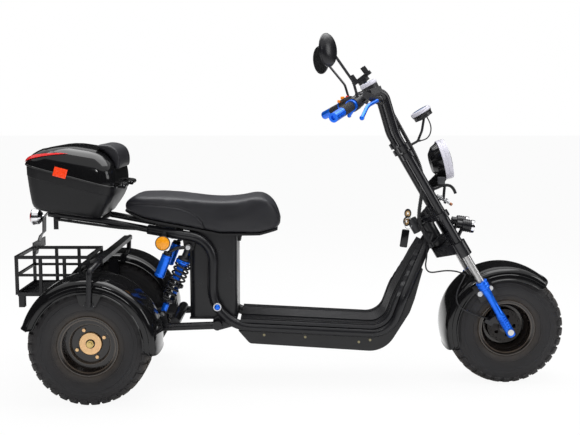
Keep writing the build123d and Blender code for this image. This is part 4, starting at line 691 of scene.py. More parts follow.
brass_nut = Finish("brass nut", (0.62, 0.46, 0.18), 0.3, Metallic=0.9)
STUD_OUT = 0.014
for side, side_name in ((1, "left"), (-1, "right")):
    cap_low, cap_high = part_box(f"hub_cap_{side_name}")
    stud_end = cap_high.y if side > 0 else cap_low.y
    cap_face = hub_of(f"hub_cap_{side_name}")
    cap_face.y = stud_end - side * STUD_OUT
    for part_name, made, line in (
            ("washer", powder_coat, [(0, 0), (17.5, 0), (17.5, 1.2), (16.8, 1.6), (0, 1.6)]),
            ("nut", brass_nut, [(0, 1.7), (14.3, 1.7), (14.6, 2.5), (14.6, 8.5), (13, 9.8), (8.4, 9.8),
                                (8.2, 14.4), (0, 14.4)])):
        part = turned(f"hub_{part_name}_{side_name}", line, 36)
        fitted(part, aimed(cap_face, (0, side, 0)), made, f"rear_wheel_{side_name}", smooth=35)

# ---- Fork legs ---------------------------------------------------------------------------------------
# Blue anodised sliders turned from bar, with a grooved collar and a knurled foot, on bright steel
# inner tubes that are ground round and round.
blue_anodised = Finish("blue anodised alloy", (0.0, 0.13, 0.82), 0.24, Metallic=0.55, Specular_IOR_Level=0.6)
cloud = blue_anodised.noise(35, 4)
blue_anodised.feed("Base Color", blue_anodised.tint(cloud, (0.0, 0.10, 0.72), (0.01, 0.19, 0.95)))
blue_anodised.feed("Roughness", cloud * 0.2 + 0.12)
blue_anodised.rough_skin(blue_anodised.noise(1800, 2), 0.00001)

FORK_LEG = (0.060, 0.139)
KNURLS = (21, 31, 41, 51, 61)
leg_line = [(0, -24), (10, -24), (14, -22.5), (17, -17), (17, 17), (15.6, 19)]
for low in KNURLS:
    leg_line += [(17, low), (17, low + 6), (15.6, low + 8)]
leg_line += [(16.6, 72), (14.4, 84), (14.2, 150), (15.4, 168), (17, 180), (17.2, 194), (19.5, 196),
             (22, 198), (22, 204), (20.6, 205.5), (20.6, 207), (22, 208.5), (22, 217), (20.6, 218.5),
             (20.6, 220), (22, 221.5), (22, 228.5), (20.5, 231), (14.1, 231), (14.1, 200)]
slider = turned("fork_slider", leg_line, 36)
bpy.ops.object.mode_set(mode="EDIT")
for low in KNURLS:
    pick(lambda m: low < m.z * 1000 < low + 6 and int((math.atan2(m.y, m.x) / (2 * pi) % 1) * 36) % 3 == 0)
    bpy.ops.mesh.inset(thickness=0.0004, use_individual=True)
    bpy.ops.mesh.extrude_region_shrink_fatten(TRANSFORM_OT_shrink_fatten={"value": -0.0022})
for low in (208.5, 221.5):
    pick(lambda m: low < m.z * 1000 < low + 9 and math.hypot(m.x, m.y) > 0.021
         and int((math.atan2(m.y, m.x) / (2 * pi) % 1) * 36) % 2)
    bpy.ops.mesh.extrude_region_shrink_fatten(TRANSFORM_OT_shrink_fatten={"value": 0.0007})
slider = closed(slider, bevel=0.0003, segments=1, angle=50)
for side, side_name in ((1, "left"), (-1, "right")):
    leg = copied(slider, f"fork_leg_{side_name}",
                 fork_base @ Matrix.Translation((FORK_LEG[0], side * FORK_LEG[1], 0)))
    finished(leg, blue_anodised, "steering", replaces=("fork_sliders",), smooth=30)
bpy.data.objects.remove(slider)

ground_steel = Finish("ground steel tube", (0.55, 0.55, 0.56), 0.2, Metallic=1.0)
ridge = ground_steel.along(ground_steel.place(), head_up).wave(0.004)
ground_steel.feed("Roughness", ground_steel.noise(60, 4) * 0.25 + 0.12)
# The grooves are painted darker and the crests lighter, along the same wave as the relief. This is painted
# shade and painted highlight.
ground_steel.feed("Base Color", ground_steel.tint(ridge * 0.4 + 0.5, (0.36, 0.36, 0.37), (0.62, 0.61, 0.6)))
ground_steel.rough_skin(ridge, 0.0002)
dress(ground_steel, "fork_stanchions")

# ---- Seat and backrest ---------------------------------------------------------------------------------
# Foam cushions under black vinyl. A stitched seam runs below the edge on both sides of the seat's cover
# and drops near its front; the backrest's cover is plain.
def only(piece):
    """Leaves one piece active and selected."""
    bpy.ops.object.select_all(action="DESELECT")
    bpy.context.view_layer.objects.active = piece
    piece.select_set(True)


def upholstered(name, node, voxel, limit, seams):
    """A cushion blown up a little from its solid, and the seams sunk into its sides."""
    source = frame["nodes"][node]
    cushion = bpy.data.objects.new(name, source.data.copy())
    bpy.context.scene.collection.objects.link(cushion)
    only(cushion)
    bpy.ops.object.mode_set(mode="EDIT")
    bpy.ops.mesh.select_all(action="SELECT")
    bpy.ops.mesh.remove_doubles(threshold=0.00005)
    bpy.ops.object.mode_set(mode="OBJECT")
    modified(cushion, "REMESH", mode="VOXEL", voxel_size=voxel)
    modified(cushion, "SMOOTH", factor=0.5, iterations=12)
    steps, seam_width, seam_depth = 20, 0.0035, 0.0022
    before = np.array([vertex.co for vertex in cushion.data.vertices])
    cloth = cushion.modifiers.new("cloth", "CLOTH")
    cloth.settings.use_pressure, cloth.settings.uniform_pressure_force = True, 4
    cloth.settings.quality, cloth.settings.tension_stiffness = 5, 12
    cloth.settings.effector_weights.gravity = 0
    for moment in range(1, steps + 1):
        bpy.context.scene.frame_set(moment)
    bpy.ops.object.modifier_apply(modifier="cloth")
    bpy.context.scene.frame_set(1)
    after = np.array([vertex.co for vertex in cushion.data.vertices])
    moved = after - before
    length = np.linalg.norm(moved, axis=1, keepdims=True)
    after = before + moved * np.minimum(1, limit / np.maximum(length, 1e-9))
    cushion.data.vertices.foreach_set("co", after.ravel())
    modified(cushion, "SMOOTH", factor=0.5, iterations=24)
    modified(cushion, "SUBSURF", levels=1, render_levels=1)
    places = np.array([vertex.co for vertex in cushion.data.vertices])
    normals = np.array([vertex.normal for vertex in cushion.data.vertices])
    depth = np.zeros(len(places))
    travel = np.zeros(len(places))
    for line, upright in seams:
        flat = places[:, [0, 2]] if upright else places[:, [1, 2]]
        best = np.full(len(places), 1.0)
        run = 0.0
        for near, far in zip(line, line[1:]):
            near, far = np.array(near), np.array(far)
            leg = far - near
            share = np.clip(((flat - near) @ leg) / (leg @ leg), 0, 1)
            gap = np.linalg.norm(flat - near - share[:, None] * leg, axis=1)
            travel = np.where(gap < best, run + share * np.linalg.norm(leg), travel)
            best = np.minimum(best, gap)
            run += np.linalg.norm(leg)
        sideways = np.abs(normals[:, 1]) > 0.25 if upright else np.abs(normals[:, 0]) > 0.2
        depth = np.maximum(depth, np.exp(-(best / seam_width) ** 2) * sideways)
    places -= normals * (depth * seam_depth)[:, None]
    cushion.data.vertices.foreach_set("co", places.ravel())
    for key, values in (("seam", depth), ("travel", travel)):
        cushion.data.attributes.new(key, "FLOAT", "POINT").data.foreach_set("value",
                                                                            values.astype(np.float32))
    cushion.data.update()
    return cushion


vinyl = Finish("black vinyl", (0.013, 0.013, 0.016), 0.5, Specular_IOR_Level=0.42)
cloud = vinyl.noise(9, 5)
# The top is painted lighter and bluer than the sides. This is a painted sheen, laid over a cloudy tone that
# varies at random.
vinyl.feed("Base Color",
           vinyl.tint((cloud + vinyl.facing_up()) * 0.34, (0.007, 0.007, 0.009), (0.024, 0.024, 0.031)))
vinyl.feed("Roughness", cloud * 0.2 + 0.36)
seam = vinyl.node("Attribute", {"attribute_name": "seam"}, out="Fac")
travel = vinyl.node("Attribute", {"attribute_name": "travel"}, out="Fac")
stitch = travel.wave(0.007)
crease = vinyl.rough_skin((1 - seam) + (seam > 0.35) * (stitch > 0.1) * 0.35, 0.0016)
vinyl.rough_skin(vinyl.cells(420.0), 0.00022, below=crease)

seat_seam = [(axle_x + x / 1000, z / 1000) for x, z in (
    (60, 728), (130, 731), (200, 729), (260, 725), (310, 717), (350, 703), (380, 683), (400, 658),
    (409, 630), (412, 590))]
seat = upholstered("seat_cover", "seat_cushion", 0.006, 0.004, [(seat_seam, True)])
finished(seat, vinyl, "seat", replaces=("seat_cushion",), smooth=180)

pad_cover = upholstered("backrest_cover", "backrest_pad", 0.005, 0.004, [])
finished(pad_cover, vinyl, "box_lid", replaces=("backrest_pad",), smooth=180)

# ---- Top box ---------------------------------------------------------------------------------------
# A touring box in two mouldings: a grained black bin on the rack, and a glossy lid that opens forward
# on a hinge, with a red lens round each rear corner and an orange reflector on each side.
RACK_TILT = radians(7.8355)
box_place = Matrix.Translation(spot(-98, 0, 688.68)) @ Matrix.Rotation(RACK_TILT, 4, "Y")
CORNERS = 12


def ring_of(rear, front, half, corner):
    """Rounded oblong between a rear and a front point of the side view, leaning as they do."""
    (x0, z0), (x1, z1) = rear, front
    corner = min(corner, half - 0.5, (x1 - x0) / 2 - 0.5)
    middle = (x0 + x1) / 2
    ring = []
    for ahead, left, start in ((1, 1, 0), (-1, 1, 90), (-1, -1, 180), (1, -1, 270)):
        for turn in np.linspace(start, start + 90, CORNERS):
            x = middle + ahead * ((x1 - x0) / 2 - corner) + corner * cos(radians(turn))
            y = left * (half - corner) + corner * sin(radians(turn))
            ring.append((x / 1000, y / 1000, (z0 + (z1 - z0) * (x - x0) / (x1 - x0)) / 1000))
    return ring


def stacked(name, rings):
    """Shell over a stack of rings of the box, closed at its last ring."""
    return skinned(name, [ring_of(*ring) for ring in rings], both_ends=False)


def walled(piece, thickness):
    """Gives a shell its wall on the inner side."""
    only(piece)
    return modified(piece, "SOLIDIFY", thickness=thickness, offset=-1)


lid_rings = [((-199, 179), (151, 136), 202, 62), ((-196, 190), (150, 152), 202, 62),
             ((-187, 203), (146.5, 172), 200.5, 63), ((-175, 216), (141, 192), 197, 64),
             ((-161, 228), (133, 211), 191, 66), ((-146, 238), (123, 227), 183, 68),
             ((-143, 239), (121, 229), 181.5, 68), ((-139.5, 238.5), (118, 229), 178.5, 67),
             ((-124, 246), (108, 241), 168, 66), ((-99, 254.5), (94, 251), 150, 60),
             ((-68, 262), (74, 259), 120, 48),
             ((-40, 266.5), (50, 264.5), 84, 34), ((-14, 269.3), (24, 268), 42, 18),
             ((-2, 270.2), (8, 270), 8, 3)]
BOX_WALL = 0.0035
fitted(walled(stacked("lid_shell", lid_rings), BOX_WALL), box_place, gloss_black, "box_lid",
       replaces=("box_lid",), smooth=28)

grained_black = moulded("grained black moulding", (0.005, 0.005, 0.006), 0.38, grain=1100, depth=0.0001,
                        dust=0.05, Specular_IOR_Level=0.3)
bin_rings = [((-195, 177.5), (152, 134.8), 201, 60), ((-193.5, 160), (151.5, 121), 200, 60),
             ((-189, 132), (150, 97), 197, 58), ((-188, 130.5), (149.6, 95.5), 195.6, 58),
             ((-182, 105), (143, 74), 191, 54), ((-174, 72), (132, 50), 185, 50),
             ((-166, 42), (121, 29), 179, 46),
             ((-160, 24), (114, 15), 175, 42), ((-154, 13), (109, 7), 170, 38),
             ((-144, 5), (105, 3), 163, 34),
             ((-130, 1), (101, 1), 154, 32)]
fitted(walled(stacked("bin_shell", bin_rings), BOX_WALL), box_place, grained_black, "frame",
       replaces=("top_box_base",), smooth=25)

rim_rings = [((-193, 171), (150, 128.7), 199.5, 59), ((-199, 170.5), (155.5, 127.2), 205, 63),
             ((-200, 172), (156.5, 128.5), 206, 64), ((-200, 176), (156.5, 132.5), 206, 64),
             ((-198.5, 177.6), (155, 134.2), 204.5, 63), ((-193, 177.8), (150, 135.2), 199.5, 59)]
bin_rim = stacked("bin_rim", rim_rings + rim_rings[:1])
only(bin_rim)
bpy.ops.object.mode_set(mode="EDIT")
pick(lambda m: abs(m.x) < 0.06 and abs(m.y) < 0.03)
bpy.ops.mesh.delete(type="FACE")
weld(0.00005)
bpy.ops.object.mode_set(mode="OBJECT")
fitted(bin_rim, box_place, gloss_black, "frame", smooth=40)


def patch(name, columns, rows, place, thickness):
    """Curved plate over a grid of places."""
    piece = begin(bpy.ops.mesh.primitive_grid_add, name, x_subdivisions=columns, y_subdivisions=rows, size=2)
    bpy.ops.object.mode_set(mode="OBJECT")
    for vertex in piece.data.vertices:
        vertex.co = place((vertex.co.x + 1) / 2, (vertex.co.y + 1) / 2)
    bpy.ops.object.mode_set(mode="EDIT")
    bpy.ops.mesh.select_all(action="SELECT")
    bpy.ops.mesh.extrude_region_shrink_fatten(TRANSFORM_OT_shrink_fatten={"value": thickness})
    bpy.ops.mesh.select_all(action="SELECT")
    bpy.ops.mesh.normals_make_consistent(inside=False)
    return closed(piece, bevel=min(0.0009, thickness * 0.3), segments=2, angle=50)


def block(name, place, size, bevel, segments=2):
    """A box by its middle and its size, with softened edges."""
    piece = begin(bpy.ops.mesh.primitive_cube_add, name, size=1, location=place, scale=size)
    return closed(piece, bevel=bevel, segments=segments)


def lens(name, colour, facets=190):
    """Clear coloured plastic with fine prisms behind it."""
    made = Finish(name, colour, 0.08, Specular_IOR_Level=0.6)
    cell = made.cells(facets)
    made.feed("Base Color", made.tint(cell * 1.1, tuple(0.75 * shade for shade in colour),
                                      tuple(min(1, 1.25 * shade) for shade in colour)))
    made.rough_skin(cell, 0.0004)
    return made


red_lens = lens("red lens", (0.62, 0.012, 0.012))
orange_lens = lens("orange reflector", (0.95, 0.055, 0.012))
amber_lens = lens("amber reflector", (0.95, 0.32, 0.01), facets=260)
for side, side_name in ((-1, "right"), (1, "left")):
    def corner_strip(u, v):
        share = u ** 1.3
        level = 0.8 + 4.6 * share ** 0.6 + (v - 0.5) * (1.4 - 1.1 * share)
        low = min(int(level), len(lid_rings) - 2)
        one, two = np.array(ring_of(*lid_rings[low])), np.array(ring_of(*lid_rings[low + 1]))
        row = one + (two - one) * (level - low)
        rear_x = row[:, 0].min()
        wanted = rear_x + 0.003 + share * 0.108
        side_row = row[row[:, 1] * side > 0]
        side_row = side_row[np.argsort(side_row[:, 0])]
        y = np.interp(wanted, side_row[:, 0], side_row[:, 1] * side) * side
        z = np.interp(wanted, side_row[:, 0], side_row[:, 2])
        return Vector((wanted - 0.0012, y + side * 0.0012, z + 0.0012))
    strip = patch(f"corner_lens_{side_name}", 18, 5, corner_strip, 0.002)
    fitted(strip, box_place, red_lens, "box_lid", smooth=50)

    thickness = 0.006

    def side_square(u, v):
        x = -0.078 + 0.050 * u + 0.005 * v
        z = 0.1725 - 0.123 * (x + 0.193) + 0.036 * v - 0.010
        return Vector((x, side * 0.2045 + thickness / 2, z))
    square = patch(f"side_reflector_{side_name}", 8, 8, side_square, thickness)
    fitted(square, box_place, orange_lens, "box_lid", smooth=40)

HINGE_X, HINGE_Z = 0.180, 0.1384
for y in (-0.090, 0.090):
    y_name = "left" if y > 0 else "right"
    knuckle = turned(f"hinge_knuckle_{y_name}", [(0, -11), (8, -11), (9, -10), (9, 10), (8, 11), (0, 11)],
                     24)
    fitted(knuckle, box_place @ aimed((HINGE_X, y, HINGE_Z), (0, 1, 0)), grained_black, "frame")
    pin = turned(f"hinge_pin_{y_name}",
                 [(0, -29.5), (4, -29.5), (4, -27.5), (2.8, -27), (2.8, 27), (4, 27.5), (4, 29.5),
                  (0, 29.5)], 20)
    fitted(pin, box_place @ aimed((HINGE_X, y, HINGE_Z), (0, 1, 0)), bolt_steel, "frame")
    arm = block(f"hinge_arm_{y_name}", (0.166, y, 0.1287), (0.030, 0.021, 0.010), 0.002)
    fitted(arm, box_place, grained_black, "frame")
    for shift in (-0.022, 0.022):
        ear_name = f"{y_name}_{'outer' if shift * y > 0 else 'inner'}"
        ear = turned(f"lid_knuckle_{ear_name}",
                     [(3.1, -8), (8, -8), (9, -7), (9, 7), (8, 8), (3.1, 8), (3.1, -8)], 24)
        fitted(ear, box_place @ aimed((HINGE_X, y + shift, HINGE_Z), (0, 1, 0)), gloss_black, "box_lid")
        strap = block(f"lid_arm_{ear_name}", (0.163, y + shift, 0.1445), (0.034, 0.015, 0.007), 0.002)
        fitted(strap, box_place, gloss_black, "box_lid")

lock = turned("box_lock", [(0, 0), (13, 0), (14, 1.5), (14, 7), (12, 9), (8, 9), (7.4, 7.6), (0, 7.6)], 28)
fitted(lock, box_place @ aimed((-0.1995, 0, 0.158), (-1, 0, 0.1)), bolt_steel, "frame")

# ---- Lamps -------------------------------------------------------------------------------------------
# The headlight is a deep black bowl with a pale plastic band round its glass; two small spot lamps
# sit on the lower clamp, and a plated lamp with a red glass closes the tail.
pale_plastic = moulded("pale plastic", (0.56, 0.55, 0.62), 0.3, grain=300, depth=0.00003, dust=0.05)
clear_glass = Finish("clear glass", (0.92, 0.94, 0.96), 0.04, Transmission_Weight=0.92, IOR=1.46)
clear_glass.rough_skin(clear_glass.noise(35, 2), 0.0001)
plated = Finish("plated steel", (0.78, 0.78, 0.8), 0.1, Metallic=1.0)
plated.feed("Roughness", plated.noise(25, 4) * 0.16 + 0.04)
plated.rough_skin(plated.noise(18, 2), 0.0004)

lamp_place = aimed(spot(1368, 0, 898), (cos(radians(16)), 0, sin(radians(16))))
band = turned("headlight_band",
              [(76.1, -26), (78.5, -26.5), (80, -25), (80, -12), (79, -11), (79, -9.5), (80, -8.5),
               (80, 4), (78, 6.5), (74.5, 6.5), (73.2, 5), (73.2, 0.2), (76.1, 0.2), (76.1, -26)], 72)
fitted(band, lamp_place, pale_plastic, "steering", replaces=("headlight_lens",))
glass = turned("headlight_glass",
               [(0, 17.5), (22, 16.8), (44, 13.4), (60, 8.6), (73, 2.4), (73, 0.6), (59, 6.6), (43, 11.2),
                (22, 14.4), (0, 15)], 72)
fitted(glass, lamp_place, clear_glass, "steering", smooth=60)
dish = turned("headlight_dish",
              [(0, 1), (11, 1), (13, 2.4), (24, 1.2), (26, 3.2), (42, 2), (44, 4), (60, 2.6), (70, 4.2),
               (72, 0.4), (0, 0.2)], 72)
fitted(dish, lamp_place, plated, "steering", smooth=30)
dress(gloss_black, "headlight")
dress(moulded("mirror shell", (0.008, 0.008, 0.010), 0.3, grain=800, depth=0.00004, dust=0.05), "mirrors")
for side, side_name in ((-1, "right"), (1, "left")):
    face_middle, back_middle = spot(1470, 60 * side, 632), spot(1424, 60 * side, 640)
    spot_run = (face_middle - back_middle).normalized()
    spot_rim = turned(f"spot_rim_{side_name}",
                      [(24.1, -13), (26, -12), (26, -1), (25, 1.5), (22, 1.5), (21, 0.2), (24.1, 0.1),
                       (24.1, -13)], 40)
    fitted(spot_rim, aimed(face_middle, spot_run), plated, "steering")
    spot_glass = turned(f"spot_glass_{side_name}", [(0, 4), (10, 3.4), (21, 0.4), (21, 0.1), (0, 0.1)], 40)
    fitted(spot_glass, aimed(face_middle, spot_run), clear_glass, "steering", smooth=60)
    for at in (10, 18, 26):
        fin = turned(f"spot_fin_{side_name}_{at}",
                     [(23.8, -1.3), (25.6, -1), (25.6, 1), (23.8, 1.3), (23.8, -1.3)], 40)
        fitted(fin, aimed(back_middle + spot_run * at / 1000, spot_run), anodised_black, "steering")
dress(anodised_black, "spot_lamps")
dress(plated, "tail_lamp_body")
dress(red_lens, "tail_lamp_lens")

# ---- Horn bracket --------------------------------------------------------------------------------------
# Between headlight and spot lamps: a bent black hook, a small flasher box on it, and a steel clamp
# bolt with a copper tip. The hook stands on the risers, and all of it turns with the fork.
hook, _, _ = conduit("horn_hook", [spot(1296, -71, 784), spot(1312, -70, 782), spot(1345, -68, 800),
                                   spot(1385, -66, 795), spot(1395, -66, 765)], 0.006)
finished(hook, powder_coat, "steering")
box_grey = moulded("flasher box plastic", (0.045, 0.045, 0.05), 0.4, grain=700)
finished(block("flasher_box", spot(1338, -66, 816), (0.028, 0.020, 0.030), 0.003), box_grey, "steering")
copper = Finish("copper", (0.55, 0.24, 0.13), 0.3, Metallic=1.0)
clamp_foot, clamp_run = spot(1322, -66, 757), spot(1384, -62, 719) - spot(1322, -66, 757)
clamp_bolt = turned("clamp_bolt",
                    [(0, 0), (6, 0), (6, 14), (10, 15), (10, 23), (6, 24), (6, 38), (11, 39), (11, 46),
                     (5, 47), (5, 60), (0, 60)], 28)
clamp_tip = turned("clamp_tip", [(0, 60.2), (5, 60.2), (6, 62), (6, 70), (4.5, 72), (0, 72)], 28)
for part, made in ((clamp_bolt, bolt_steel), (clamp_tip, copper)):
    fitted(part, aimed(clamp_foot, clamp_run), made, "steering", smooth=35)
clip, _, _ = conduit("horn_clip", [spot(1352, -67, 800), spot(1350, -67, 778), spot(1348, -66, 742)], 0.0055)
finished(clip, powder_coat, "steering")

# ---- Side reflectors -----------------------------------------------------------------------------------
# Round amber reflectors in black rims, each on a short strap that a lug holds beside the side tube.
for side, side_name in ((-1, "right"), (1, "left")):
    at = aimed(spot(251, side * 155, 581), (0, side, 0))
    eye = turned(f"round_reflector_{side_name}", [(0, 1), (26.5, 1), (26.5, 6.6), (24, 8), (0, 8.6)], 48)
    fitted(eye, at, amber_lens, "frame", replaces=("side_reflectors",), smooth=50)
    cup = turned(f"reflector_rim_{side_name}",
                 [(0, 0), (28, 0), (29, 1), (29, 7.4), (28, 8.4), (26.6, 8.4), (26.6, 0.9), (0, 0.9)], 48)
    fitted(cup, at, powder_coat, "frame")
    strap = block(f"reflector_strap_{side_name}", spot(256, side * 153.4, 602), (0.018, 0.003, 0.058), 0.001)
    finished(strap, powder_coat, "frame")
    lug = turned(f"reflector_lug_{side_name}", [(0, 0), (6, 0), (6, 22), (0, 22)], 20)
    fitted(lug, aimed(spot(258, side * 133, 622), (0, side, 0)), powder_coat, "frame")

# ---- Handlebar gear ------------------------------------------------------------------------------------
# Rubber grips between blue anodised rings and end caps, black brake perches with blue levers, a switch
# block with an orange rocker and a red button, two round displays and a sprung phone clamp.
grip_rubber = Finish("ribbed grip rubber", (0.02, 0.02, 0.021), 0.7, Specular_IOR_Level=0.3)
grip_run = Vector((-72, 124, -42)).normalized()
one_side = grip_rubber.node("VectorMath", {"operation": "ABSOLUTE"}, {0: grip_rubber.place()})
grip_rubber.rough_skin(grip_rubber.along(one_side, grip_run).wave(0.005), 0.0008)
grip_rubber.feed("Roughness", grip_rubber.noise(80, 3) * 0.25 + 0.55)
dress(grip_rubber, "grips")
dress(blue_anodised, "grip_ends", "brake_levers")
switch_black = moulded("switch housing", (0.015, 0.015, 0.017), 0.38, grain=900, depth=0.00005, dust=0.12)
dress(switch_black, "controls", "phone_holder", "ignition", "instrument")
silvered = Finish("mirror glass", (0.86, 0.88, 0.9), 0.02, Metallic=1.0)
silvered.feed("Roughness", silvered.noise(6, 3) * 0.03 + 0.005)
dress(silvered, "mirror_glass")
rocker_orange = moulded("orange rocker", (0.9, 0.26, 0.01), 0.35, dust=0.03)
button_red = moulded("red button", (0.75, 0.02, 0.015), 0.3, dust=0.03)
for name, made, place, size in (("indicator_rocker", rocker_orange, (966, 262, 1141), (0.016, 0.022, 0.012)),
                                ("stop_button", button_red, (984, 240, 1145), (0.011, 0.011, 0.010)),
                                ("horn_button", rocker_orange, (950, 254, 1126), (0.012, 0.016, 0.012))):
    finished(block(name, spot(*place), size, 0.0028, 3), made, "steering", smooth=60)

for name, place, normal, size, depth in (("speed_display", (1262, 0, 1084), (-0.515, 0, 0.857), 42, 26),
                                         ("battery_display", (1048, -60, 1190), (-0.47, 0, 0.88), 34, 24)):
    at = aimed(spot(*place), normal)
    face = turned(name + "_face",
                  [(0, 10), (size - 7, 10), (size - 2, 8.5), (size, 5), (size + 0.5, -3),
                   (size - 1, -5.5), (0, -5.5)], 56)
    fitted(face, at, pale_plastic, "steering", smooth=30)
    case = turned(name + "_case",
                  [(0, -5.6), (size - 1.5, -5.6), (size - 1, -9), (size - 4, -14), (size - 4, -18),
                   (size - 7, -depth), (size * 0.5, -depth - 3), (0, -depth - 3)], 56)
    fitted(case, at, plated if size < 40 else gloss_black, "steering", smooth=30)
    window = turned(name + "_window", [(0, 11.2), (size - 12, 10.6), (size - 10, 10.05), (0, 10.05)], 56)
    fitted(window, at, moulded(name + " window", (0.22, 0.28, 0.42), 0.08, dust=0.02), "steering", smooth=30)

# ---- Ignition keys -----------------------------------------------------------------------------------
# A brass-headed key stands in the lock with its ring, a spare and a black remote hanging from it.
brass = Finish("brass", (0.5, 0.33, 0.16), 0.32, Metallic=1.0)
brass.feed("Roughness", brass.noise(160, 3) * 0.3 + 0.2)
lock_top = fork_spot(-48, -42, 568)
for name, place, direction in (("ignition_key", lock_top + head_up * 0.024, Vector((0.2, 1, 0.1))),
                               ("spare_key", lock_top + Vector((-0.018, -0.012, -0.010)),
                                Vector((0.1, 1, -0.2)))):
    for part, made, line in (
            ("head", brass,
             [(4, -1.9), (5, -2.3), (10, -2.3), (11, -1.9), (11, 1.9), (10, 2.3), (5, 2.3), (4, 1.9),
              (4, -1.9)]),
            ("grip", gloss_black,
             [(10.8, -1.8), (15, -2), (16.5, -1), (16.5, 1), (15, 2), (10.8, 1.8), (10.8, -1.8)])):
        disc = turned(f"{name}_{part}", line, 32)
        fitted(disc, aimed(place, direction) @ Matrix.Diagonal((0.85, 1.15, 1, 1)), made, "steering")
blade = block("key_blade", (0, 0, 0.006), (0.007, 0.002, 0.022), 0.0006)
fitted(blade, aimed(lock_top - head_up * 0.004, head_up), bolt_steel, "steering")
remote = begin(bpy.ops.mesh.primitive_cube_add, "key_remote", size=1, location=(0, 0, 0),
               scale=(0.030, 0.012, 0.072))
bpy.ops.mesh.select_all(action="SELECT")
bpy.ops.mesh.bevel(offset=0.005, segments=4, affect="EDGES")
remote = closed(remote)
remote_place = Matrix.Translation(lock_top + Vector((-0.026, -0.018, -0.077)))
fitted(remote, remote_place @ Matrix.Rotation(radians(8), 4, "Y"), gloss_black, "steering", smooth=60)
ring_points = [lock_top + Vector((-0.012 + 0.016 * cos(turn), -0.016, -0.018 + 0.024 * sin(turn)))
               for turn in np.linspace(0, 2 * pi, 9)]
key_ring, _, _ = conduit("key_ring", ring_points, 0.0011, sides=10)
finished(key_ring, bolt_steel, "steering", smooth=60)

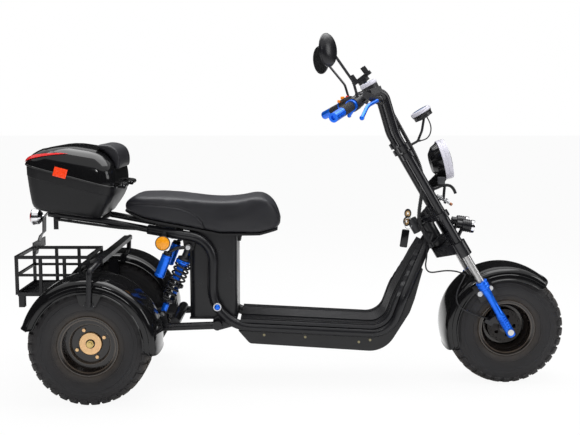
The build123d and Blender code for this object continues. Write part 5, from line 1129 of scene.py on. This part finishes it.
# ---- Dampers -------------------------------------------------------------------------------------------
# Rear dampers with black coil springs over blue bodies, steel rods, and a blue gas bottle on a black
# arm beside the top eye.
damper_up = Vector((103, 0, 261)).normalized()
spring_black = moulded("spring paint", (0.009, 0.009, 0.010), 0.22, grain=500, depth=0.00002, dust=0.08)
dress(spring_black, "damper_springs")
bottle_up = Vector((34, 0, 87)).normalized()
DAMPER_Y = 146
body_grooves = [(radius, 146 + 4 * step + lift) for step in range(15)
                for radius, lift in ((15, 0), (14, 1.6), (15, 3.2))]
for side, side_name in ((-1, "right"), (1, "left")):
    foot = aimed(spot(245, side * DAMPER_Y, 302), damper_up)
    for name, made, line in (
            ("damper_lower_body", blue_anodised, [(0, 8), (10, 8), (12, 10), (12, 40), (10, 43), (0, 43)]),
            ("damper_lower_seat", anodised_black,
             [(0, 44), (12, 44), (20, 50), (27, 54), (27, 62), (25, 65.5), (0, 65.5)]),
            ("damper_rod", turned_steel, [(0, 66), (6, 66), (6, 141), (0, 141)]),
            ("damper_body", blue_anodised,
             [(0, 142), (13, 142), (15, 144)] + body_grooves + [(15, 208), (0, 208)]),
            ("damper_collar", blue_anodised,
             [(0, 209), (18, 209), (26, 214), (27, 216), (27, 224), (26, 226), (20, 227), (0, 227)]),
            ("damper_top_seat", anodised_black,
             [(0, 228), (23, 228), (24, 230), (24, 236), (18, 239), (12, 242), (11, 268), (0, 268)])):
        part = turned(f"{name}_{side_name}", line, 32)
        fitted(part, foot, made, "frame", replaces=("dampers",), smooth=30)
    for end, height, seat_face in (("low", 0, 0.019), ("high", 280.6, 0.0108)):
        eye = turned(f"damper_eye_{end}_{side_name}",
                     [(0, -10.8), (5, -10.8), (5, -10), (12.5, -10), (14, -8.5), (14, 8.5), (12.5, 10),
                      (5, 10), (5, 10.8), (0, 10.8)], 32)
        fitted(eye, aimed(foot @ Vector((0, 0, height / 1000)), (0, 1, 0)), anodised_black, "frame")
        nut = bolt(f"damper_bolt_{end}_{side_name}",
                   foot @ Vector((0, 0, height / 1000)) + Vector((0, side * seat_face, 0)), (0, side, 0),
                   radius=0.0065, height=0.006, washer=1.4)
        finished(nut, bolt_steel, "frame")
    bottle = turned(f"gas_bottle_{side_name}",
                    [(0, 0), (14, 0), (18, 2), (20, 5), (20, 12), (19, 13), (19, 15), (20, 16), (20, 82),
                     (19, 83), (19, 85), (20, 86), (20, 93), (0, 93)], 36)
    fitted(bottle, aimed(spot(232, side * DAMPER_Y, 446), bottle_up), blue_anodised, "frame", smooth=30)
    cap = turned(f"bottle_cap_{side_name}", [(0, 93.2), (17, 93.2), (17, 102), (15, 105), (0, 105)], 36)
    fitted(cap, aimed(spot(232, side * DAMPER_Y, 446), bottle_up), anodised_black, "frame")
    link, _, _ = conduit(f"bottle_arm_{side_name}",
                         [spot(268, side * DAMPER_Y, 540), spot(290, side * DAMPER_Y, 556),
                          spot(320, side * DAMPER_Y, 562), spot(344, side * DAMPER_Y, 563)], 0.007)
    finished(link, anodised_black, "frame")

# ---- Footboard and panels --------------------------------------------------------------------------
# A ribbed rubber mat over the floor and the slope, a moulded pan below it, and the seat's tray. Dull
# brass screws stand on the pan's sides, and a blue cap in a steel ring closes the charging socket.
mat_rubber = moulded("ribbed mat rubber", (0.008, 0.008, 0.010), 0.42, grain=500, depth=0.0001, dust=0.2)
mat_rubber.rough_skin(mat_rubber.part(mat_rubber.place(), "Y").wave(0.018), 0.003)
dress(mat_rubber, "floor_mat")
pan_plastic = moulded("pan moulding", (0.007, 0.007, 0.008), 0.32, grain=700, depth=0.00008, dust=0.08)
dress(pan_plastic, "belly_pan", "seat_pan")
dull_brass = Finish("dull brass", (0.26, 0.23, 0.14), 0.45, Metallic=0.7)
for side, side_name in ((-1, "right"), (1, "left")):
    for i, (x, z) in enumerate(((641, 210), (803, 202), (1015, 182), (1059, 190))):
        stud = bolt(f"pan_screw_{side_name}_{i + 1}", spot(x, side * 127.6, z), (0, side, 0),
                    radius=0.0032, height=0.0025, washer=1.6)
        finished(stud, dull_brass, "frame")
socket_ring = turned("socket_ring", [(11, 0), (17, 0), (17, 3), (15.5, 5), (12, 5), (11, 4), (11, 0)], 36)
socket_cap = turned("socket_cap", [(0, 0), (10.6, 0), (10.6, 7), (9, 9.5), (5, 10.8), (0, 11.2)], 36)
for piece, made in ((socket_ring, bolt_steel), (socket_cap, blue_anodised)):
    fitted(piece, aimed(spot(459, -148, 327), (0, -1, 0)), made, "frame", smooth=40)
